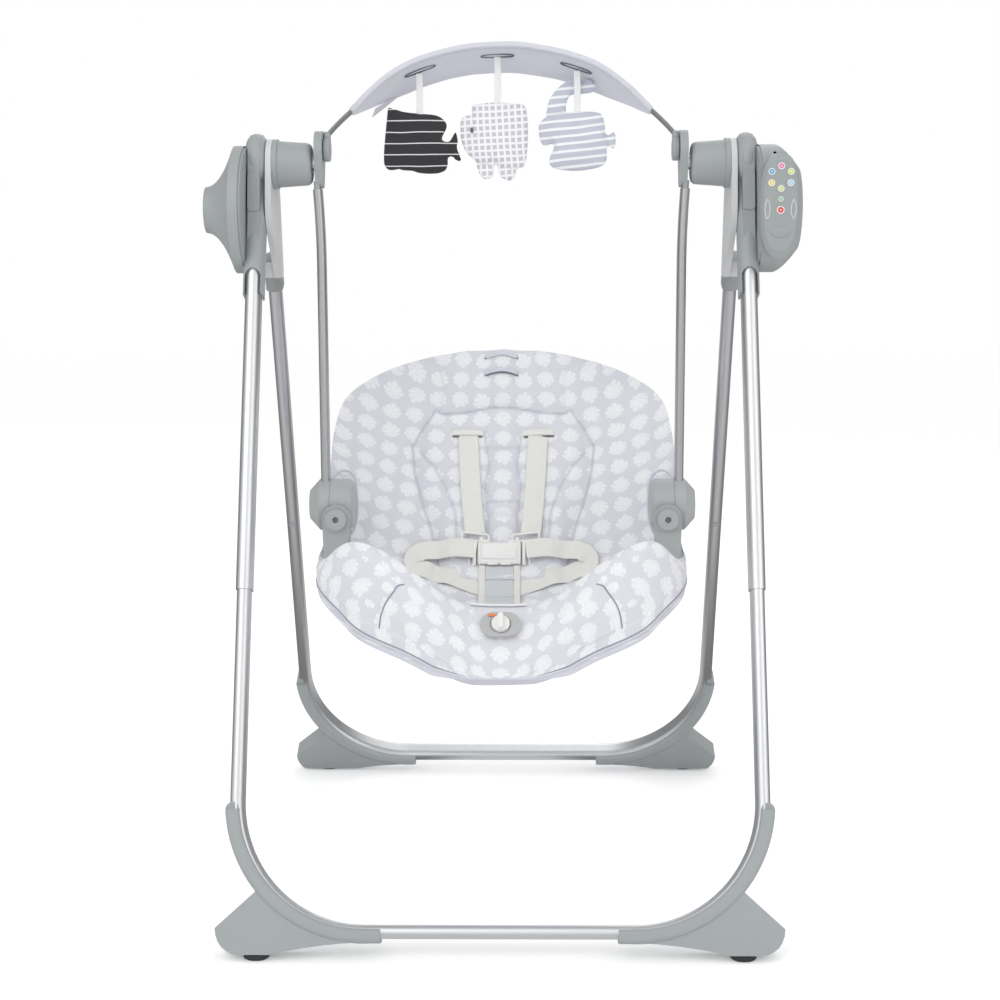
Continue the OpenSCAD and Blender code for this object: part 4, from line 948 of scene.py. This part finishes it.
def makeHarness():
    straps = []
    for side in (-1, 1):
        path = [(u, -side * v) for u, v in harness["shoulder"]]
        straps.append(onSeat("strap", path, 0.0275, [0.5, 3.0, 3.5, 3.5, 4.0, 7.0], 0.0016, tapeWebbing, 60))
    shoulders = join("shoulderStraps", straps)
    finishPiece(shoulders, tapeWebbing, "seat")
    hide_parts("shoulder_straps")
    for side, word in ((-1, "Left"), (1, "Right")):
        onSeat("strapFlap" + word, [(u, -side * v) for u, v in harness["flap"]], 0.0078, 3.2, 0.0022, tapeWebbing, 24)
        # dark strip in each strap slit: painted shade inside the opening
        onSeat("strapSlit" + word, [(u, -side * v) for u, v in harness["slit"]], 0.0022, 1.1, 0.0010, threadAndSlitShade,
               24)
    lap = []
    for side in (-1, 1):
        spots, sides = [], []
        path = harness["lap"]
        for i, (u, v) in enumerate(path):
            spots.append(onCover(u, -side * v, harness["lapLift"][i]) + Vector((harness["shift"], 0, 0)))
        for i, (u, v) in enumerate(path):
            along = spots[min(i + 1, len(path) - 1)] - spots[max(i - 1, 0)]
            sides.append(along.cross(seatNormal(u, -side * v)).normalized())
        lap.append(ribbon("strap", spots, sides, 0.0265, 0.0016, tapeWebbing, "seat", 96))
    laps = join("lapStraps", lap)
    finishPiece(laps, tapeWebbing, "seat")
    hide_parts("lap_straps")
    plate = onSeat("crotchPlate", [(0.452, -0.012), (0.475, -0.012), (0.50, -0.012), (0.53, -0.012), (0.58, -0.012), (0.63, -0.012)], 0.041,
                   [3, 4, 5, 5, 4, 3], 0.0022, crotchPlastic, 40)
    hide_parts("crotch_strap")
    bands = [onSeat("band", [(u, v) for u in (0.452, 0.48, 0.51, 0.55, 0.60, 0.64)], 0.0085, [4, 5, 6, 6, 5, 4], 0.0016, tapeWebbing,
                    40) for v in (-0.075, 0.052)]
    sideBands = join("crotchBands", bands)
    finishPiece(sideBands, tapeWebbing, "seat")
    for u, word in ((0.472, "High"), (0.512, "Low")):
        onSeat("plateEdge" + word, [(u, -0.07), (u, -0.012), (u, 0.046)], 0.0022, 6.6, 0.0014, crotchPlastic, 16)
    makeBuckle()
    print("harness made")


def makeBuckle():
    spot = buckleFrame()
    bm = softBox((0.058, 0.0105, 0.030), 0.0030)
    addTo(bm, softBox((0.046, 0.0040, 0.0215), 0.0018, (0, -0.0052, 0.002)))
    for side in (-1, 1):
        addTo(bm, softBox((0.0040, 0.0130, 0.033), 0.0018, (side * 0.0325, 0, 0)))
        addTo(bm, softBox((0.0030, 0.0120, 0.031), 0.0014, (side * 0.0262, -0.001, 0)))
        addTo(bm, softBox((0.0135, 0.0040, 0.0042), 0.0016, (side * 0.0088, -0.0064, -0.0148)))
        addTo(bm, softBox((0.0090, 0.0050, 0.0060), 0.0016, (side * 0.0165, 0.001, 0.0165)))
        addTo(bm, softBox((0.0050, 0.0040, 0.0070), 0.0012, (side * 0.0240, -0.001, 0.0185)))
    bmesh.ops.transform(bm, matrix=spot, verts=bm.verts[:])
    buckle = putInScene("buckleBody", bm)
    finishPiece(buckle, whitePlastic, "seat")
    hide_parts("buckle")
    rings = []
    for side in (-1, 1):
        lean = Matrix.Translation((side * 0.0335 + 0.0015, -0.001, 0.0225)) @ Matrix.Rotation(math.radians(side * -6), 4, "Y")
        rings.append(tube("ring", [spot @ lean @ p for p in roundedRing(0.036, 0.0095, 0.0035)], 0.0015, closed=True))
        frameSpot = Matrix.Translation((side * 0.0372, 0.002, 0))
        rings.append(tube("ring", [spot @ frameSpot @ p for p in roundedRing(0.0050, 0.034, 0.002)], 0.0014, closed=True))
    sliders = join("strapSliders", rings)
    finishPiece(sliders, whitePlastic, "seat")


# ---- small things on the cover ----
def makeCoverTrim():
    slots = {"Top": [(0.056, -0.18), (0.041, -0.10), (0.033, -0.02), (0.041, 0.06), (0.058, 0.14)],
             "Low": [(0.124, -0.105), (0.116, -0.06), (0.113, -0.01), (0.116, 0.04), (0.124, 0.085)]}
    for word, line in slots.items():   # bound slots behind the head
        onSeat("slotBinding" + word, [(u - 0.010, v) for u, v in line], 0.0055, 2.6, 0.0024, liningCotton, 30)
        # dark strip along each slot: painted shade inside it
        onSeat("slotShadow" + word, line, 0.0016, 2.2, 0.0008, threadAndSlitShade, 30)
    onSeat("hemBand", [(0.716, -0.115), (0.7175, -0.06), (0.718, -0.01), (0.7175, 0.05), (0.716, 0.10)], 0.0065, 2.4, 0.0018, paleBinding,
           30)
    low, high = (Vector(p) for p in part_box("knob_bezel"))
    n, e = Vector((0, -0.7071, 0.7071)), Vector((0, 0.7071, 0.7071))
    spot = (low + high) / 2 + n * 0.0030 + e * 0.0118 + Vector((-0.0105, 0, 0))
    turn = Matrix(((1, e.x, n.x, spot.x), (0, e.y, n.y, spot.y), (0, e.z, n.z, spot.z), (0, 0, 0, 1)))
    bm = softBox((0.0085, 0.0034, 0.0012), 0.0005)
    bmesh.ops.transform(bm, matrix=turn, verts=bm.verts[:])
    mark = putInScene("knobMark", bm)
    finishPiece(mark, markPlastic, "seat")
    print("cover trim made")


# ---- small things on the remote and the hubs ----
def makeRemoteTrim():
    power = [Vector(p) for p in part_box("key_power")]
    body = [Vector(p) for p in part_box("remote_body")]
    face = body[0].y
    mid = (power[0] + power[1]) / 2
    for side, word in ((-1, "Left"), (1, "Right")):
        spots = []
        for k in range(32):
            a = 2 * math.pi * k / 32
            x = mid.x + side * 0.0158 + 0.0030 * math.sin(a) * abs(math.sin(a)) ** 0.5
            spots.append(Vector((x, face + 0.0003, mid.z + 0.001 + 0.0115 * math.cos(a))))
        grip = tube("remoteGrip" + word, spots, 0.0007, closed=True)
        finishPiece(grip, paleGreyPlastic, "remote")
    bm = bmesh.new()   # a bare oval badge
    bmesh.ops.create_circle(bm, cap_ends=True, radius=1, segments=48)
    grown = bmesh.ops.extrude_face_region(bm, geom=bm.faces[:])["geom"]
    bmesh.ops.translate(bm, verts=[g for g in grown if isinstance(g, bmesh.types.BMVert)], vec=(0, 0, 1))
    upright = Matrix.Rotation(math.radians(90), 4, "X")
    spot = Matrix.Translation((mid.x, face + 0.0010, mid.z - 0.0265)) @ upright @ Matrix.Diagonal((0.0118, 0.0068, 0.0018, 1))
    bmesh.ops.transform(bm, matrix=spot, verts=bm.verts[:])
    badge = putInScene("remoteBadge", bm)
    mod = badge.modifiers.new("edge", "BEVEL")
    mod.width, mod.segments = 0.0006, 3
    finishPiece(badge, remotePlastic, "remote")
    print("remote trim made")


# ---- toy bar sleeve and toys ----
arch = {"pivot": 0.922, "radius": 0.276, "drop": 0.150, "lean": 22, "half": 43.5, "wide": 0.080, "narrow": 0.014, "thick": 0.0068,
        "barWide": 0.011, "barThick": 0.0032, "discIn": 0.2147, "discThick": 0.009, "discRadius": 0.015, "slot": -0.010,
        "slots": (-0.377, -0.018, 0.348)}   # sines of the toy straps' places along the arch


def archPoint(angle, across, out=0.0):
    a = math.radians(angle)
    r = arch["radius"] + out
    spot = Vector((r * math.sin(a), across, r * math.cos(a) - arch["drop"]))
    return Matrix.Translation((0, 0, arch["pivot"])) @ (Matrix.Rotation(math.radians(-arch["lean"]), 4, "X") @ spot)


def makeToyBar():
    bm = bmesh.new()
    n, m = 120, 24
    bmesh.ops.create_grid(bm, x_segments=n, y_segments=m, size=0.5)
    paintedShade = bm.verts.layers.float.new("paintedShade")
    bm.verts.index_update()
    places = {}
    for vert in bm.verts:
        t, w = vert.co.x * 2, vert.co.y * 2
        angle = t * arch["half"]
        taper = (1 - max(0.0, abs(t) - 0.45) / 0.55 * stepBetween(0.45, 1.0, abs(t))) if abs(t) > 0.45 else 1.0
        half = (arch["narrow"] + (arch["wide"] - arch["narrow"]) * max(0.0, taper) ** 0.8) / 2
        flat = Vector((math.radians(angle) * arch["radius"], w * half, 0))
        sag = 0.0008 * noise.noise(Vector((flat.x * 30, flat.y * 12, 0))) + 0.0003 * noise.noise(flat * 90)
        sag -= 0.0035 * w * w
        for x in arch["slots"]:
            gap = flat.x - x * arch["radius"]
            sag -= 0.0006 * math.exp(-(gap / 0.018) ** 2) * math.exp(-((w + 0.1) / 0.4) ** 2)
        # a painted shade line along the sleeve near its edge
        vert[paintedShade] = 0.8 * math.exp(-((w + 0.80) / 0.035) ** 2)
        places[vert.index] = flat
        vert.co = archPoint(angle, w * half - 0.002, sag + 0.001)
    setCloth(bm, places)
    sleeve = putInScene("toyBarSleeve", bm)
    addModifiers(sleeve, (("SOLIDIFY", {"thickness": arch["thick"], "offset": 0.0}),
                          ("SUBSURF", {"levels": 1, "render_levels": 1})))
    finishPiece(sleeve, bandCotton, "toy_bar")
    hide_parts("toy_bar_cover")
    for k, x in enumerate(arch["slots"]):   # bound slots that the toy straps come out of
        middle = math.degrees(math.asin(x))
        spots = []
        for i in range(41):
            a = 2 * math.pi * i / 40
            r = 0.021 / (abs(math.cos(a)) ** 2.6 + abs(math.sin(a) * 2.6) ** 2.6) ** (1 / 2.6)
            spots.append(archPoint(middle + math.degrees(r * math.cos(a) / arch["radius"]), arch["slot"] + r * math.sin(a) * 0.5, -0.0036))
        binding = tube("slotBindingToy%d" % (k + 1), spots, 0.0009, closed=True)
        finishPiece(binding, threadAndSlitShade, "toy_bar")
    high, low = archPoint(-29.5, 0.030, -0.003), archPoint(-37.5, 0.019, -0.004)
    drop = Vector((0.0015, -0.002, -0.0045))
    spots = [high + drop * 0.4, (high + low) / 2 + drop, low + drop * 1.6]
    ribbon("sewnTag", spots, [Vector((-0.35, 0, -0.93))] * 3, [0.003, 0.009, 0.013], 0.0009, bandCotton, "toy_bar", 16)
    bm = bmesh.new()   # the flat spring inside the sleeve, showing at both ends
    bmesh.ops.create_grid(bm, x_segments=100, y_segments=3, size=0.5)
    end = math.degrees(math.asin((arch["discIn"] + 0.004) / arch["radius"]))
    for vert in bm.verts:
        vert.co = archPoint(vert.co.x * 2 * end, vert.co.y * arch["barWide"], 0.0008)
    spring = putInScene("toyBarSpring", bm)
    addModifiers(spring, (("SOLIDIFY", {"thickness": arch["barThick"], "offset": 0.0}),
                          ("BEVEL", {"width": 0.0008, "segments": 2})))
    finishPiece(spring, darkGreyPlastic, "toy_bar")
    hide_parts("toy_bar_rod")
    bm = bmesh.new()   # the turning discs, with the spring's ends let into them
    for side in (-1, 1):
        r, t = arch["discRadius"], arch["discThick"]
        outline = [(0.0, 0.0), (r - 0.004, 0.0), (r - 0.0012, 0.0003), (r, 0.0015), (r, t - 0.0015), (r - 0.0012, t - 0.0003), (0.0, t)]
        part = bmesh.new()
        spots = [part.verts.new((arch["discIn"] + x, 0, rr)) for rr, x in outline]
        edges = [part.edges.new(pair) for pair in zip(spots, spots[1:])]
        bmesh.ops.spin(part, geom=spots + edges, angle=2 * math.pi, steps=48, axis=(1, 0, 0), cent=(0, 0, 0), use_merge=True)
        bmesh.ops.remove_doubles(part, verts=part.verts[:], dist=0.00001)
        addTo(part, softBox((0.0075, 0.016, 0.022), 0.0015, (arch["discIn"] + 0.0045, 0, 0.0105)))
        bmesh.ops.rotate(part, verts=part.verts[:], cent=(0, 0, 0), matrix=Matrix.Rotation(math.radians(-arch["lean"]), 3, "X"))
        bmesh.ops.translate(part, verts=part.verts[:], vec=(0, 0, arch["pivot"]))
        if side < 0:
            bmesh.ops.scale(part, verts=part.verts[:], vec=(-1, 1, 1))
        addTo(bm, part)
    discs = putInScene("toyBarDiscs", bm)
    mod = discs.modifiers.new("edges", "BEVEL")
    mod.width, mod.segments = 0.0006, 2
    finishPiece(discs, greyPlastic, "toy_bar")
    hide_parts("toy_bar_ends")
    print("toy bar made")


toys = {
    "toy_left": {
        "pivot": (-104.05, 37.95, 1011.5), "cloth": "dark", "slot": "toy_dark", "grow": 1.10,
        "parts": [(0, 9, [(-38, -2), (-14, -7), (12, -9), (24, -12), (32, -20), (31, -30), (30, -40), (34, -52), (33, -60), (33, -70),
                          (26, -78), (6, -80), (-20, -77), (-40, -73), (-43, -55), (-40, -20)]),
                  (1, 7, [(26, -38), (36, -42), (40, -41), (48, -32), (49, -44), (46, -51), (50, -66), (44, -66), (38, -60), (28, -60)])]},
    "toy_middle": {
        "pivot": (-4.97, 45.69, 1032.5), "cloth": "check", "slot": "toy_pale", "grow": 1.09,
        "parts": [(0, 9, [(-31, -18), (-2, -15), (24, -17), (33, -21), (37, -50), (35, -86), (28, -92), (4, -90), (-20, -91), (-28, -80),
                          (-30, -50)]),
                  (-7, 8, [(-44, -36), (-38, -30), (-30, -33), (-26, -46), (-20, -62), (-10, -76), (-12, -86), (-26, -84),
                          (-38, -72), (-44, -56)]),
                  (-3, 7, [(-27, -88), (-10, -88), (-6, -98), (-12, -106), (-22, -104)]),
                  (1, 7, [(-2, -88), (22, -88), (24, -100), (18, -108), (4, -104)])]},
    "toy_right": {
        "pivot": (96.05, 39.14, 1014.6), "cloth": "stripe", "slot": "toy_blue", "grow": 1.05,
        "parts": [(0, 9, [(-49, -30), (-46, -21), (-34, -13), (-6, -9), (24, -10), (32, -16), (36, -34), (38, -60), (34, -74), (13, -81),
                          (-12, -83),
                          (-33, -77), (-34, -52), (-44, -51), (-49, -44)]),
                  (1, 6, [(34, -36), (42, -37), (49, -33), (49, -55), (42, -51), (34, -52)]),
                  (9, 7, [(-38, -14), (-34, 4), (-25, 18), (-12, 28), (2, 30), (16, 31), (23, 24), (20, 16),
                          (8, 13), (-6, 11), (-12, 2), (-15, -14)])]},
}
toyCloth = {"dark": darkCotton, "check": checkCotton, "stripe": stripeCotton}
toyPuff = {"hang": 37, "forward": -0.004, "voxel": 0.0026, "pressure": 4.0, "frames": 20, "most": 0.0075, "strap": 0.0085}


def cutOut(outline, y, thick):
    # one sewn panel: its outline filled and given a little thickness
    bm = bmesh.new()
    n = len(outline) * 4
    loop = [spline([Vector((x, 0, z)) for x, z in outline + outline[:1]], i / n) / 1000 for i in range(n)]
    face = bm.faces.new([bm.verts.new(p) for p in loop])
    grown = bmesh.ops.extrude_face_region(bm, geom=[face])["geom"]
    bmesh.ops.translate(bm, verts=[g for g in grown if isinstance(g, bmesh.types.BMVert)], vec=(0, thick / 1000, 0))
    bmesh.ops.translate(bm, verts=bm.verts[:], vec=(0, (y - thick / 2) / 1000, 0))
    bmesh.ops.recalc_face_normals(bm, faces=bm.faces[:])
    return bm


def puffUp(piece, most, pressure):
    # the cloth swells under pressure, and no point moves further than most
    before = [v.co.copy() for v in piece.data.vertices]
    mod = piece.modifiers.new("puff", "CLOTH")
    cloth = mod.settings
    cloth.quality = 5
    cloth.use_pressure = True
    cloth.uniform_pressure_force = pressure
    cloth.effector_weights.gravity = 0
    cloth.tension_stiffness = 15
    cloth.bending_stiffness = 0.5
    mod.point_cache.frame_start = 1
    mod.point_cache.frame_end = toyPuff["frames"]
    for frameNumber in range(1, toyPuff["frames"] + 1):
        bpy.context.scene.frame_set(frameNumber)
    bake(piece)
    for vert, old in zip(piece.data.vertices, before):
        way = vert.co - old
        if way.length > most:
            vert.co = old + way.normalized() * most
    bpy.context.scene.frame_set(1)


def makeToy(name):
    toy = toys[name]
    word = name.split("_")[1].capitalize()
    bm = bmesh.new()
    for y, thick, outline in toy["parts"]:
        addTo(bm, cutOut([(x * toy["grow"], -40 + (z + 40) * toy["grow"]) for x, z in outline], y, thick))
    anchor = Vector(toy["pivot"]) / 1000 + Vector((0, toyPuff["forward"], -toyPuff["hang"] / 1000))
    bmesh.ops.translate(bm, verts=bm.verts[:], vec=anchor)
    piece = putInScene("softToy" + word, bm, recalc=False)
    mod = piece.modifiers.new("remesh", "REMESH")
    mod.mode = "VOXEL"
    mod.voxel_size = toyPuff["voxel"]
    mod.use_smooth_shade = True
    bake(piece)
    puffUp(piece, toyPuff["most"], toyPuff["pressure"])
    bm = bmesh.new()
    bm.from_mesh(piece.data)
    for step in range(2):
        bmesh.ops.smooth_vert(bm, verts=bm.verts[:], factor=0.5, use_axis_x=True, use_axis_y=True, use_axis_z=True)
    bm.to_mesh(piece.data)
    bm.free()
    piece.data.materials.clear()
    finishPiece(piece, toyCloth[toy["cloth"]], name, 1)
    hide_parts(name)
    top = Vector(toy["pivot"]) / 1000 + Vector((0, toyPuff["forward"] * 2, 0.0055))
    end = anchor + Vector((0, -0.001, -0.014 if name != "toy_middle" else -0.022))
    spots = [top, top.lerp(end, 0.5) + Vector((0.0006, 0, 0)), end]
    ribbon("toyStrap" + word, spots, [Vector((1, 0, 0))] * 3, toyPuff["strap"], 0.0012, whiteTape, name, 20)


def makeToys():
    for name in toys:
        makeToy(name)
    bm = bmesh.new()   # the bird's eye: a small domed button
    spots = [bm.verts.new((x, 0, y)) for x, y in ((0, 0.0012), (0.0012, 0.0010), (0.0020, 0.0004), (0.0022, -0.0006), (0, -0.0008))]
    edges = [bm.edges.new(pair) for pair in zip(spots, spots[1:])]
    bmesh.ops.spin(bm, geom=spots + edges, angle=2 * math.pi, steps=20, axis=(0, 0, 1), cent=(0, 0, 0), use_merge=True)
    bmesh.ops.remove_doubles(bm, verts=bm.verts[:], dist=0.00001)
    middle = Vector(toys["toy_middle"]["pivot"]) / 1000
    upright = Matrix.Rotation(math.radians(90), 4, "X")
    spot = Matrix.Translation(middle + Vector((-0.0325, -0.0185, -0.086))) @ upright @ Matrix.Diagonal((0.9, 1.7, 1, 1))
    bmesh.ops.transform(bm, matrix=spot, verts=bm.verts[:])
    eye = putInScene("toyEye", bm)
    finishPiece(eye, darkPlastic, "toy_middle")
    print("toys made")


dressFrame()
layFloor()
lightTheRoom()
print("frame dressed")
makeSeat()
print("seat made")
makeHarness()
makeCoverTrim()
makeRemoteTrim()
makeToyBar()
makeToys()
